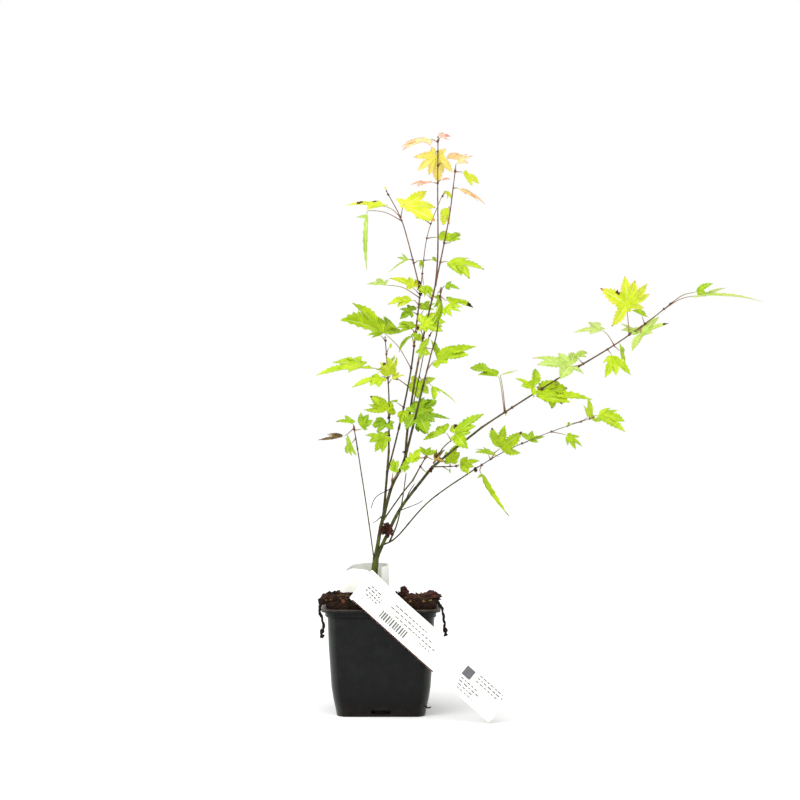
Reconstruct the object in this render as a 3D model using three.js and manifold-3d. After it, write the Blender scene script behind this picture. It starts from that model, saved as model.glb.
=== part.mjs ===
// A young Japanese maple in a square nursery pot, with the tag that is looped round its foot.
// Millimetres, +Z up, the front is -Y. The origin is the middle of the pot's flat underside.
import * as THREE from "three";
import { mergeVertices } from "three/addons/utils/BufferGeometryUtils.js";
import Module from "manifold-3d";

const wasm = await Module();
wasm.setup();

// Driving dimensions of the pot and what fills it
const POT_HEIGHT = 81;
const BASE_HALF = 33.2;
const WALL_TOP_HALF = 39.8;
const COLLAR_HALF = 41.4;
const RIM_HALF = 44.6;
const POT_WALL = 1.2;
const LIP_DEEP = 2.4;
const COLLAR_DEEP = 7;
const COLLAR_SLOPE = 0.8;
const FLOOR_THICK = 1.6;
const SLOT = { wide: 15, deep: 6, high: 3, low: 2.2 };
const SQUARENESS = 8;
const POT_SIDES = 48;
const CLEAR = 0.3;

// The compost stands above the rim: a flat middle, and a lumpy edge that falls to the rim
const MOUND_TOP = 90.5;
const MOUND = { half: 42.4, flat: 26, brow: 8, edge: 1.5, fall: 3, lumps: [-2.6, 3.6] };
const CHIPS = {
  bark_chip_large: { size: [28.5, 18.6, 7.4], at: [33.5, -21, MOUND_TOP + 2.9], turn: 12, tilt: -6 },
  bark_chip_small: { size: [7.4, 6.2, 11.2], at: [15.5, -25, MOUND_TOP + 4.5], turn: 30, tilt: 28 },
};

// The tag's long end: a strip that leans from the stem over the rim and hangs down in front of the pot.
// over and under say how far above and below the rim it bends, and how much it leans there.
const TAG = {
  long: 139, wide: 25, thick: 0.6, slope: -41, middle: [37.4, 57.6], steps: [18, 5],
  clear: 0.9, over: { from: 8.5, lean: 1.25 }, under: { lean: 0.24 },
};

// The tag's other end: a band that runs out to the left and back round the stem, narrower at the foot
const LOOP = {
  high: 20, thick: 0.6, low: MOUND_TOP + CLEAR, taper: 0.08, steps: 22,
  plan: [
    [-11, -7, 0], [-27, -9, 0], [-29, -5, 0], [-20, 4, 0],
    [-6, 9, 0], [4, 6, 0], [5, -2, 0], [0, -6, 0],
  ],
};

// Dead root strands that hang over the rim, and the withered clump caught between the two main stems
const STRAND = { foot: 0.65, tip: 0.45, steps: 7 };
const STRANDS = {
  root_strand_left: [
    [-41.7, -31, 86.5], [-44.4, -32, 82.6], [-45.3, -32.4, 79.6], [-44.6, -33, 67], [-45, -33, 60],
  ],
  root_strand_right: [
    [41.7, -31, 86.5], [44.4, -32, 82.6], [45.3, -32.6, 79.6], [46.6, -33, 69], [48, -33, 61],
  ],
};
const CLUMP = { size: [4.6, 3, 5], at: [3.6, -4.4, 138], rough: [0.75, 0.5] };

// Fineness of the limbs
const BOUGH_SIDES = 7;
const STEM_SIDES = 5;
const PETIOLE_SIDES = 3;
const BOUGH_STEP = 16;
const SCRAP = 0.05;

// How a maple leaf is made: each lobe's turn from the midrib in degrees, and its share of the blade
const LOBES = [
  { turn: -118, share: 0.34 },
  { turn: -78, share: 0.64 },
  { turn: -38, share: 0.88 },
  { turn: 0, share: 1 },
  { turn: 38, share: 0.88 },
  { turn: 78, share: 0.64 },
  { turn: 118, share: 0.34 },
];
const SHOULDER = { turn: 15, at: 0.52 };
const SINUS_AT = 0.42;
const PALM_AT = 0.08;
const TURN_JITTER = 12;
const REACH_JITTER = 0.24;
const BLADE_THICK = { share: 0.03, least: 0.8 };
const LOBE_DROOP = 0.16;
const SMALL_BLADE = 25;
const PETIOLE_FOOT = 0.55;
const PETIOLE_END = 0.45;
const PETIOLE_ARCH = 0.1;
const SHORT_PETIOLE = 12;

const COLOURS = {
  pot: 0x26282a,
  compost: 0x3a2619,
  bark: 0x6b4a30,
  olive: 0x5d5f33,
  plum: 0x5b4440,
  tag: 0xf6f6ec,
  dead: 0x3a2018,
  lime: 0x9fcf0d,
  gold: 0xd2e21b,
  yellow: 0xf0e640,
  orange: 0xf5b667,
  pink: 0xf6a98f,
  deep: 0x62a80a,
  pale: 0xb4dd4a,
  brown: 0x6f5322,
};

const DEGREE = Math.PI / 180;
const plant = new THREE.Group();

// Bare limbs, each from where it leaves its parent to its tip: middle line, and radius at foot and tip
const FLARE = { line: [[-5.8, 0, MOUND_TOP + CLEAR], [-5.6, 0, MOUND_TOP + 7]], foot: 4.6, tip: 2.7 };
const LIMBS = {
  trunk: { line: [[-5.8, 0, MOUND_TOP + CLEAR], [-5.3, 0, 104], [-4.1, 0, 118]], foot: 2.9, tip: 2.5 },
  left_bough: { line: [[-4.1, 0, 118], [-0.6, 0, 139], [1.4, 0, 147]], foot: 1.95, tip: 1.75 },
  right_bough: {
    line: [[-3.4, 0, 117], [3.5, -1, 132], [14.5, -5, 154], [31, -9, 176], [39, -11, 186]],
    foot: 1.8, tip: 1.25,
  },
  rear_bough: { line: [[1.4, 0, 147], [3.3, 3, 168], [5.6, 6, 197]], foot: 1.25, tip: 1 },
  front_bough: {
    line: [[1.4, 0, 147], [7.7, -3, 170], [15.5, -5, 186], [18.4, -6, 194]],
    foot: 1.4, tip: 1.2,
  },
  inner_bough: { line: [[4.4, 4.6, 181], [8.1, 10, 194], [13.4, 14, 215]], foot: 0.9, tip: 0.8 },
  centre_bough: { line: [[18.4, -6, 194], [19.8, -5, 213], [25.5, -3, 252]], foot: 1, tip: 0.8 },
  outer_bough: { line: [[18.4, -6, 194], [23.6, -15, 215], [32, -22, 249]], foot: 0.95, tip: 0.8 },
  diagonal_bough: { line: [[2.2, -1.4, 146], [15, -9, 164.5], [24, -12, 176]], foot: 0.75, tip: 0.7 },
  right_arm: { line: [[39, -11, 186], [56, -14, 200], [76, -17, 216]], foot: 1.15, tip: 1 },
  low_bough: { line: [[1.2, 0.4, 126], [12, 6, 132], [37, 12, 159], [73, 18, 184]], foot: 1, tip: 0.8 },
  olive_twig: { line: [[6.6, 3.4, 129], [12, 5, 142], [16, 7, 160], [19, 9, 181]], foot: 0.8, tip: 0.45 },
  side_twig: { line: [[-5.4, -1.6, 114], [-11, -6, 154], [-18, -12, 200]], foot: 0.75, tip: 0.6 },
  dead_twig_left: { line: [[7, -4, 169], [-4, -9, 163], [-8, -12, 154]], foot: 0.45, tip: 0.35 },
  dead_twig_right: { line: [[14, -6.5, 152.5], [27, -12, 158], [32, -13, 161]], foot: 0.45, tip: 0.35 },
  dead_stub: { line: [[18.6, -5, 160], [21, -1, 166], [25.6, 0, 173]], foot: 0.55, tip: 0.4 },
};

// Leafy shoots. A leaf row is: place along the stem from 0 to 1, petiole [way, length], blade [way, length],
// lean, roll, spread and tint. A way is the direction seen from the front, in degrees from the right
// through up. Lean turns the leaf away from the front, roll turns its face up to the sky, and spread is
// 1 for an open leaf and less for a folded one. fill is how many small leaves the seeded rule adds.
const SHOOTS = {
  centre_shoot: {
    line: [[25.5, -3, 252], [32, -1, 285], [41.4, -2, 325]],
    foot: 0.8, tip: 0.65, seed: 3, fill: 2,
    leaves: [
      [0.44, [105, 10], [4, 21], -10, 25, 1.2, "gold"],
      [0.17, [81, 9], [52, 14], -6, 35, 1, "deep"],
      [0.84, [136, 6], [119, 8], 28, 40, 0.9, "lime"],
      [0.88, [-37, 5], [-45, 6], 38, 40, 0.8, "lime"],
    ],
  },
  top_left: {
    line: [[41.4, -2, 325], [43.1, 0, 351], [43, 3, 398], [43.3, 4, 437]],
    foot: 0.65, tip: 0.4, seed: 1, fill: 2,
    leaves: [
      [0.97, [153, 5], [-164, 28], -12, 68, 0.7, "orange"],
      [0.98, [64, 3], [29, 8], 30, 30, 0.7, "pink"],
      [0.91, [200, 2], [-82, 23], -22, 10, 1.1, "yellow"],
      [0.81, [45, 9], [23, 12], 38, 30, 0.8, "orange"],
      [0.69, [167, 3], [177, 15], 20, 78, 0.6, "pink"],
      [0.7, [30, 3], [8, 6], -30, 70, 0.6, "pink"],
    ],
  },
  top_right: {
    line: [[41.4, -2, 325], [48, -8, 357], [52.2, -11, 380], [56.1, -12, 411]],
    foot: 0.6, tip: 0.4, seed: 2, fill: 2,
    leaves: [
      [0.99, [84, 5], [21, 15], -18, 72, 0.8, "orange"],
      [0.98, [2, 5], [-36, 17], 14, 40, 0.9, "gold"],
      [0.84, [1, 3], [-30, 26], -12, 72, 0.6, "orange"],
      [0.65, [107, 3], [-109, 14], 30, 40, 0.8, "lime"],
      [0.19, [10, 4], [-8, 32], -28, 60, 1, "lime"],
      [0.36, [10, 5], [65, 11], 40, 35, 0.8, "lime"],
    ],
  },
  outer_shoot: {
    line: [[32, -22, 249], [37.5, -23, 271], [42, -22, 288], [45, -19, 320]],
    foot: 0.8, tip: 0.5, seed: 4, fill: 2,
    leaves: [
      [0.15, [51, 8], [16, 34], -10, 58, 1, "lime"],
      [0.06, [-52, 7], [-31, 24], -18, 68, 0.35, "deep"],
      [0.93, [-41, 5], [-12, 22], -8, 62, 0.9, "lime"],
      [0.99, [51, 4], [13, 13], -20, 55, 0.8, "deep"],
      [0.92, [-77, 9], [-8, 12], -40, 45, 0.8, "lime"],
      [0.97, [179, 2], [-87, 25], -15, 74, 0.5, "lime"],
    ],
  },
  slender_shoot: {
    line: [[23.6, -3.6, 230], [29, 6, 255], [34, 9, 279], [37.5, 10, 287]],
    foot: 0.6, tip: 0.4, seed: 5, fill: 1,
    leaves: [
      [0.44, [-54, 3], [-128, 13], 28, 40, 1, "lime"],
      [0.85, [144, 5], [121, 9], 30, 40, 0.8, "lime"],
      [0.98, [60, 5], [45, 9], 40, 45, 0.8, "lime"],
    ],
  },
  inner_shoot: {
    line: [[13.4, 14, 215], [19, 18, 240], [23, 21, 262], [26, 22, 286], [30, 20, 321]],
    foot: 0.8, tip: 0.6, seed: 6, fill: 3,
    leaves: [
      [0.44, [127, 32], [145, 36], -22, 56, 0.9, "lime"],
      [0.31, [156, 37], [-172, 37], 6, 66, 1, "lime"],
      [0.06, [79, 8], [-66, 13], -34, 30, 1, "deep"],
      [0.6, [101, 9], [-131, 17], 16, 68, 0.5, "lime"],
      [0.67, [107, 6], [142, 13], 40, 40, 0.9, "lime"],
      [0.7, [141, 5], [156, 8], -30, 65, 0.6, "lime"],
      [0.83, [154, 5], [169, 12], -20, 48, 1, "deep"],
      [0.9, [136, 5], [-174, 21], 10, 52, 0.8, "lime"],
      [0.97, [134, 7], [155, 16], -22, 35, 1.1, "lime"],
      [0.95, [158, 28], [-177, 15], 22, 60, 0.7, "lime"],
    ],
  },
  upper_left: {
    line: [[30, 20, 321], [20.6, 15, 358], [14.5, 11, 377], [4.2, 6, 396]],
    foot: 0.55, tip: 0.35, seed: 7, fill: 1,
    leaves: [
      [0.72, [78, 10], [-26, 25], -14, 26, 1.15, "gold"],
      [0.73, [144, 14], [174, 31], 12, 72, 0.8, "yellow"],
      [0.69, [164, 27], [-95, 43], -6, 30, 0.08, "gold"],
      [0.3, [165, 3], [-149, 18], -20, 55, 0.7, "lime"],
      [0.27, [33, 5], [-58, 7], 30, 50, 0.7, "lime"],
      [0.97, [119, 4], [103, 7], 20, 40, 0.6, "gold"],
    ],
  },
  upper_inner: {
    line: [[30, 20, 321], [35, 24, 362], [44.7, 26, 390], [48, 26, 396]],
    foot: 0.55, tip: 0.35, seed: 8, fill: 1,
    leaves: [
      [0.53, [6, 8], [-13, 14], -16, 25, 1, "lime"],
      [0.98, [61, 5], [-56, 8], -20, 55, 0.7, "gold"],
      [0.17, [-83, 9], [-56, 11], -24, 45, 0.9, "lime"],
      [0.68, [143, 8], [158, 12], 35, 40, 0.8, "lime"],
    ],
  },
  rear_shoot: {
    line: [[5.6, 6, 197], [5.8, 10, 235], [3.8, 14, 270], [2.8, 16, 284]],
    foot: 1, tip: 0.5, seed: 9, fill: 2,
    leaves: [
      [0.65, [40, 2], [93, 16], -18, 45, 0.6, "lime"],
      [0.64, [148, 4], [-155, 27], -14, 50, 1, "lime"],
      [0.6, [54, 4], [32, 10], 20, 50, 0.6, "lime"],
      [0.32, [116, 3], [135, 18], -16, 25, 1.15, "lime"],
      [0.22, [103, 3], [-155, 14], 12, 40, 1.1, "deep"],
      [0.14, [180, 2], [-151, 17], -22, 35, 1.1, "lime"],
      [0.86, [70, 5], [40, 9], -42, 40, 0.9, "lime"],
      [0.98, [131, 5], [144, 10], 25, 45, 0.8, "lime"],
    ],
  },
  dark_sprig: {
    line: [[21, -4.6, 218.5], [23, -8, 220.5]],
    foot: 0.6, tip: 0.5, seed: 10, fill: 0,
    leaves: [
      [0.9, [77, 7], [-11, 29], -18, 45, 1.05, "deep"],
      [0.9, [-27, 3], [-41, 15], -8, 50, 0.8, "deep"],
      [0.9, [65, 11], [40, 12], 12, 40, 0.9, "deep"],
    ],
  },
  side_tip: {
    line: [[-18, -12, 200], [-20.6, -14, 216]],
    foot: 0.6, tip: 0.45, seed: 11, fill: 1,
    leaves: [
      [0.86, [9, 5], [53, 16], -14, 30, 1.1, "lime"],
      [0.91, [104, 4], [163, 13], 10, 66, 0.9, "lime"],
      [0.96, [-139, 9], [-175, 19], -18, 50, 0.7, "brown"],
    ],
  },
  front_sprig: {
    line: [[7.8, -3.2, 170.5], [8.1, -6, 175.7]],
    foot: 0.6, tip: 0.5, seed: 12, fill: 0,
    leaves: [
      [0.9, [83, 6], [83, 13], -20, 25, 1.1, "lime"],
      [0.9, [42, 11], [48, 10], -30, 30, 1, "gold"],
    ],
  },
  diagonal_shoot: {
    line: [[24, -12, 176], [28.6, -13, 184.5], [34, -14, 194]],
    foot: 0.7, tip: 0.5, seed: 13, fill: 1,
    leaves: [
      [0.95, [-159, 11], [50, 13], -30, 28, 1.1, "gold"],
      [0.9, [79, 2], [35, 12], -10, 40, 1, "deep"],
      [0.99, [-23, 6], [34, 11], -14, 45, 0.6, "brown"],
    ],
  },
  right_twig: {
    line: [[40, -13, 189.5], [47, -19, 201], [54, -22, 207]],
    foot: 0.65, tip: 0.5, seed: 14, fill: 1,
    leaves: [
      [0.99, [78, 3], [38, 26], -8, 52, 0.9, "gold"],
      [0.93, [121, 7], [-170, 18], 5, 50, 0.8, "lime"],
      [0.98, [-15, 2], [-61, 10], -30, 40, 0.7, "orange"],
    ],
  },
  flat_twig: {
    line: [[41, -10, 186], [50.4, -4, 186], [57.3, 0, 186.2]],
    foot: 0.6, tip: 0.45, seed: 15, fill: 1,
    leaves: [
      [0.7, [90, 2], [72, 12], -18, 28, 1.1, "lime"],
      [0.98, [22, 2], [13, 16], -10, 45, 1.1, "lime"],
    ],
  },
  right_middle: {
    line: [[76, -17, 216], [91, -19, 226], [130, -25, 251], [147, -27, 261]],
    foot: 1, tip: 0.8, seed: 16, fill: 2,
    leaves: [
      [0.24, [99, 27], [162, 22], -8, 60, 0.7, "lime"],
      [0.25, [97, 28], [14, 16], 10, 66, 0.6, "lime"],
      [0.62, [-140, 8], [0, 34], -16, 44, 1.2, "lime"],
      [0.63, [160, 5], [161, 16], -28, 45, 0.9, "lime"],
      [0.78, [-84, 9], [-103, 14], 10, 40, 0.7, "lime"],
    ],
  },
  right_tip: {
    line: [[147, -27, 261], [174, -31, 277.5], [199, -34, 295], [216, -36, 308.5]],
    foot: 0.8, tip: 0.45, seed: 17, fill: 2,
    leaves: [
      [0.06, [194, 8], [163, 26], -14, 50, 1.3, "pale"],
      [0.06, [127, 6], [51, 10], 26, 40, 0.8, "pale"],
      [0.31, [-50, 4], [-72, 20], -16, 25, 1.05, "lime"],
      [0.54, [97, 21], [92, 23], -14, 14, 1.25, "gold"],
      [0.38, [125, 13], [169, 27], 16, 68, 0.9, "pale"],
      [0.66, [-90, 5], [20, 22], -24, 50, 1.1, "gold"],
      [0.67, [-117, 5], [163, 13], 8, 55, 0.7, "gold"],
      [0.92, [21, 28], [-1, 47], -4, 70, 0.3, "lime"],
      [0.99, [25, 22], [62, 11], 14, 40, 0.9, "lime"],
    ],
  },
  low_shoot: {
    line: [[73, 18, 184], [96.6, 21, 197.5], [131.5, 25, 212], [163.4, 28, 222.6]],
    foot: 0.8, tip: 0.45, seed: 18, fill: 2,
    leaves: [
      [0.14, [53, 10], [88, 14], -44, 20, 1.4, "lime"],
      [0.41, [18, 5], [43, 13], 24, 40, 0.9, "lime"],
      [0.66, [-12, 11], [-40, 17], -12, 35, 1.2, "lime"],
      [0.91, [31, 6], [96, 15], 14, 60, 0.4, "lime"],
      [0.98, [30, 5], [4, 26], -14, 42, 1.3, "lime"],
      [0.05, [-108, 5], [-51, 40], -12, 55, 0.1, "lime"],
    ],
  },
};

// The small leaves that the seeded rule adds, each value as [least, range], and how much room they need
const FILL = {
  along: [0.12, 0.82], blade: [12, 9], petiole: [6, 7], lean: [30, 35], bend: 20, roll: 35, spread: 0.95,
  tries: 14, room: 0.62, beside: 3,
};

// A repeatable row of numbers from 0 to 1
function seeded(seed) {
  let state = seed * 7919;
  return () => {
    state = (Math.imul(state, 1664525) + 1013904223) >>> 0;
    return state / 4294967296;
  };
}

function vector(p) {
  return new THREE.Vector3(p[0], p[1], p[2]);
}

// A closed geometry as a solid that can be joined and cut
function solidOf(geometry) {
  const bare = geometry.clone();
  bare.deleteAttribute("normal");
  bare.deleteAttribute("uv");
  const merged = mergeVertices(bare, 1e-4);
  const vertProperties = new Float32Array(merged.attributes.position.array);
  const triVerts = new Uint32Array(merged.index.array);
  return new wasm.Manifold(new wasm.Mesh({ numProp: 3, vertProperties, triVerts }));
}

// The largest single body of a solid, cleaned of slivers, as a mesh of the plant
function place(name, solid, colour, roughness = 0.7) {
  const bodies = solid.asOriginal().simplify(SCRAP).decompose();
  const body = bodies.reduce((a, b) => (b.volume() > a.volume() ? b : a));
  const { vertProperties, triVerts } = body.getMesh();
  const geometry = new THREE.BufferGeometry();
  geometry.setAttribute("position", new THREE.BufferAttribute(vertProperties, 3));
  geometry.setIndex(new THREE.BufferAttribute(triVerts, 1));
  geometry.computeVertexNormals();
  const material = new THREE.MeshStandardMaterial({ color: colour, roughness, metalness: 0 });
  const mesh = new THREE.Mesh(geometry, material);
  mesh.name = name;
  plant.add(mesh);
  return body;
}

// The smooth middle line of a limb
function middleLine(line) {
  return new THREE.CatmullRomCurve3(line.map(vector), false, "catmullrom", 0.5);
}

// A tapering limb: a cylinder bent along its middle line. grow makes it fatter and longer all round.
function limbSolid(line, foot, tip, sides, steps, grow = 0) {
  const curve = middleLine(line);
  const frames = curve.computeFrenetFrames(steps, false);
  const geometry = new THREE.CylinderGeometry(1, 1, 1, sides, steps);
  const spots = geometry.attributes.position;
  for (let i = 0; i < spots.count; i++) {
    const along = spots.getY(i) + 0.5;
    const ring = Math.round(along * steps);
    const radius = foot + (tip - foot) * along + grow;
    const spot = curve.getPointAt(ring / steps);
    spot.addScaledVector(frames.normals[ring], spots.getX(i) * radius);
    spot.addScaledVector(frames.binormals[ring], -spots.getZ(i) * radius);
    if (ring === 0) spot.addScaledVector(frames.tangents[ring], -grow);
    if (ring === steps) spot.addScaledVector(frames.tangents[ring], grow);
    spots.setXYZ(i, spot.x, spot.y, spot.z);
  }
  return solidOf(geometry);
}

function stepsOf(line, step) {
  return Math.max(1, Math.round(middleLine(line).getLength() / step));
}

// Cuts a solid clear of every limb in the list whose box it meets
function cutClear(solid, limbs) {
  let left = solid;
  for (const fat of limbs) {
    const a = left.boundingBox();
    const b = fat.boundingBox();
    const apart = [0, 1, 2].some((k) => a.max[k] < b.min[k] || b.max[k] < a.min[k]);
    if (!apart) left = left.subtract(fat);
  }
  return left;
}

// The directions of a leaf's midrib, of its side and of its upper face
function leafFrame(way, lean, roll) {
  const flat = Math.cos(lean * DEGREE);
  const turn = way * DEGREE;
  const rib = new THREE.Vector3(Math.cos(turn) * flat, Math.sin(lean * DEGREE), Math.sin(turn) * flat);
  const front = new THREE.Vector3(0, -1, 0);
  front.addScaledVector(rib, -front.dot(rib)).normalize();
  const sky = new THREE.Vector3().crossVectors(front, rib);
  if (sky.z < 0) sky.negate();
  const face = front.multiplyScalar(Math.cos(roll * DEGREE));
  face.addScaledVector(sky, Math.sin(roll * DEGREE));
  const side = new THREE.Vector3().crossVectors(face, rib);
  return { rib, side, face };
}

// Where a leaf row puts its node, its petiole's end and its blade's middle
function leafPlaces(curve, [along, petiole, blade, lean, roll]) {
  const flat = Math.cos(lean * DEGREE);
  const node = curve.getPointAt(along);
  const stalk = leafFrame(petiole[0], lean, 0).rib;
  const base = node.clone().addScaledVector(stalk, petiole[1] / flat);
  const frame = leafFrame(blade[0], lean, roll);
  const length = blade[1] / flat;
  const middle = base.clone().addScaledVector(frame.rib, length / 2);
  return { node, base, middle, frame, length };
}

// The outline of a leaf as turns and reaches from its palm, lobe by lobe, with how far each point droops
function leafOutline(length, spread, random) {
  const lobes = length < SMALL_BLADE ? LOBES.slice(1, 6) : LOBES;
  const outline = [{ turn: 180, reach: PALM_AT * 1.3, droop: 0 }];
  let last = null;
  for (const lobe of lobes) {
    const turn = lobe.turn * spread + (random() - 0.5) * TURN_JITTER * spread;
    const reach = lobe.share * (1 + (random() - 0.5) * REACH_JITTER);
    const droop = LOBE_DROOP * (0.5 + random());
    if (last) {
      const sinus = (SINUS_AT * (reach + last.reach)) / 2;
      outline.push({ turn: (turn + last.turn) / 2, reach: sinus, droop });
    }
    outline.push({ turn: turn - SHOULDER.turn * spread, reach: reach * SHOULDER.at, droop });
    outline.push({ turn, reach, droop });
    outline.push({ turn: turn + SHOULDER.turn * spread, reach: reach * SHOULDER.at, droop });
    last = { turn, reach };
  }
  return outline;
}

// The blade: a sphere of two bands, its one ring of points drawn out to the leaf's outline
function bladeSolid(base, frame, length, spread, random) {
  const outline = leafOutline(length, spread, random);
  const palm = base.clone().addScaledVector(frame.rib, PALM_AT * length);
  const thick = Math.max(length * BLADE_THICK.share, BLADE_THICK.least) / 2;
  const geometry = new THREE.SphereGeometry(1, outline.length, 2);
  const spots = geometry.attributes.position;
  for (let i = 0; i < spots.count; i++) {
    const band = Math.floor(i / (outline.length + 1));
    const spot = palm.clone();
    if (band === 1) {
      const { turn, reach, droop } = outline[i % (outline.length + 1) % outline.length];
      spot.addScaledVector(frame.rib, Math.cos(turn * DEGREE) * reach * length);
      spot.addScaledVector(frame.side, Math.sin(turn * DEGREE) * reach * length);
      spot.addScaledVector(frame.face, -droop * reach * reach * length);
    } else {
      spot.addScaledVector(frame.face, (1 - band) * thick);
    }
    spots.setXYZ(i, spot.x, spot.y, spot.z);
  }
  return solidOf(geometry);
}

// A leaf: its petiole arches from the stem's middle line, and its blade spreads from the petiole's end
function leafSolids(curve, row, random) {
  const { node, base, frame, length } = leafPlaces(curve, row);
  const arch = node.clone().add(base).multiplyScalar(0.5);
  arch.z += node.distanceTo(base) * PETIOLE_ARCH;
  const bent = node.distanceTo(base) > SHORT_PETIOLE;
  const stalk = (bent ? [node, arch, base] : [node, base]).map((p) => p.toArray());
  const petiole = limbSolid(stalk, PETIOLE_FOOT, PETIOLE_END, PETIOLE_SIDES, bent ? 2 : 1);
  return [petiole, bladeSolid(base, frame, length, row[5], random)];
}

// The rows of small leaves that the seeded rule adds to a shoot, where they have room
function fillRows(shoot, taken) {
  const random = seeded(shoot.seed + 100);
  const draw = ([least, range]) => least + random() * range;
  const curve = middleLine(shoot.line);
  const rows = [];
  for (let tries = 0; tries < FILL.tries && rows.length < shoot.fill; tries++) {
    const along = draw(FILL.along);
    const way = random() * 360 - 180;
    const petiole = draw(FILL.petiole);
    const blade = draw(FILL.blade);
    const lean = draw(FILL.lean);
    const bent = way + FILL.bend * (random() - 0.5);
    const flat = Math.cos(lean * DEGREE);
    const row = [along, [way, petiole * flat], [bent, blade * flat], lean, FILL.roll, FILL.spread, "lime"];
    const { middle, length } = leafPlaces(curve, row);
    const roomy = taken.every((t) => t.spot.distanceTo(middle) > t.reach + length * FILL.room);
    if (roomy) {
      rows.push(row);
      taken.push({ spot: middle, reach: length * FILL.room });
    }
  }
  return rows;
}

// Makes a round geometry square in plan, with round corners
function squareUp(geometry) {
  const spots = geometry.attributes.position;
  for (let i = 0; i < spots.count; i++) {
    const x = spots.getX(i);
    const y = spots.getY(i);
    const around = Math.atan2(y, x);
    const across = Math.abs(Math.cos(around)) ** SQUARENESS;
    const deep = Math.abs(Math.sin(around)) ** SQUARENESS;
    const out = (across + deep) ** (-1 / SQUARENESS);
    spots.setXY(i, x * out, y * out);
  }
  return geometry;
}

// Turns a profile of [half width, height] points about Z, then squares it
function squareLathe(profile) {
  const points = profile.map(([r, z]) => new THREE.Vector2(r, z));
  const geometry = new THREE.LatheGeometry(points, POT_SIDES);
  geometry.rotateX(Math.PI / 2);
  return squareUp(geometry);
}

// The pot: tapering wall, collar band, flat lip and four drain slots low in its sides
function makePot() {
  const wallTop = POT_HEIGHT - COLLAR_DEEP;
  const lipLow = POT_HEIGHT - LIP_DEEP;
  const profile = [
    [0, 0],
    [BASE_HALF, 0],
    [WALL_TOP_HALF, wallTop],
    [COLLAR_HALF, wallTop + COLLAR_SLOPE],
    [COLLAR_HALF, lipLow],
    [RIM_HALF, lipLow],
    [RIM_HALF, POT_HEIGHT],
    [COLLAR_HALF - POT_WALL, POT_HEIGHT],
    [COLLAR_HALF - POT_WALL, wallTop + COLLAR_SLOPE],
    [WALL_TOP_HALF - POT_WALL, wallTop],
    [BASE_HALF - POT_WALL, FLOOR_THICK],
    [0, FLOOR_THICK],
  ];
  let pot = solidOf(squareLathe(profile));
  for (let side = 0; side < 4; side++) {
    const slot = new THREE.BoxGeometry(SLOT.wide, SLOT.deep, SLOT.high);
    slot.translate(0, -BASE_HALF, SLOT.low + SLOT.high / 2);
    slot.rotateZ((side * Math.PI) / 2);
    pot = pot.subtract(solidOf(slot));
  }
  place("pot", pot, COLOURS.pot, 0.45);
}

// The compost: it fills the pot and stands above the rim, lumpy at the edge, level round the trunk's foot
function makeCompost() {
  const random = seeded(21);
  const wallTop = POT_HEIGHT - COLLAR_DEEP;
  const inside = POT_WALL + CLEAR;
  const profile = [
    [0, FLOOR_THICK + CLEAR],
    [BASE_HALF - inside, FLOOR_THICK + CLEAR],
    [WALL_TOP_HALF - inside, wallTop],
    [COLLAR_HALF - inside, wallTop + COLLAR_SLOPE + CLEAR],
    [COLLAR_HALF - inside, POT_HEIGHT + CLEAR],
    [MOUND.half, POT_HEIGHT + CLEAR],
    [MOUND.half - MOUND.edge, MOUND_TOP - MOUND.fall],
    [MOUND.half - MOUND.brow, MOUND_TOP - MOUND.fall / 5],
    [MOUND.flat, MOUND_TOP],
    [0, MOUND_TOP],
  ];
  const geometry = squareLathe(profile);
  const spots = geometry.attributes.position;
  const lumps = Array.from({ length: POT_SIDES }, () => MOUND.lumps[0] + random() * MOUND.lumps[1]);
  for (let i = 0; i < spots.count; i++) {
    const z = spots.getZ(i);
    const around = (Math.atan2(spots.getY(i), spots.getX(i)) / (2 * Math.PI)) * POT_SIDES;
    const lump = lumps[(Math.round(around) + POT_SIDES) % POT_SIDES];
    const lumpy = z > MOUND_TOP - MOUND.fall - 1 && z < MOUND_TOP;
    if (lumpy) spots.setZ(i, Math.min(MOUND_TOP, z + lump));
  }
  place("compost", solidOf(geometry), COLOURS.compost, 0.95);
}

// Two bark chips that lie on the compost, flat underneath
function makeChips() {
  const room = new THREE.BoxGeometry(2 * RIM_HALF + 20, 2 * RIM_HALF + 20, 2 * RIM_HALF);
  room.translate(0, 0, MOUND_TOP + CLEAR + RIM_HALF);
  for (const [name, chip] of Object.entries(CHIPS)) {
    const geometry = new THREE.OctahedronGeometry(0.5, 1);
    geometry.scale(...chip.size);
    geometry.rotateY(chip.tilt * DEGREE);
    geometry.rotateZ(chip.turn * DEGREE);
    geometry.translate(...chip.at);
    place(name, solidOf(geometry).intersect(solidOf(room)), COLOURS.bark, 0.9);
  }
}

// A thin strip bent by a rule: bend gives the place of each point of a flat box
function stripSolid(long, wide, thick, longSteps, wideSteps, bend) {
  const geometry = new THREE.BoxGeometry(long, wide, thick, longSteps, wideSteps, 1);
  const spots = geometry.attributes.position;
  for (let i = 0; i < spots.count; i++) {
    const spot = bend(spots.getX(i), spots.getY(i), spots.getZ(i));
    spots.setXYZ(i, spot.x, spot.y, spot.z);
  }
  return solidOf(geometry);
}

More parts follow.
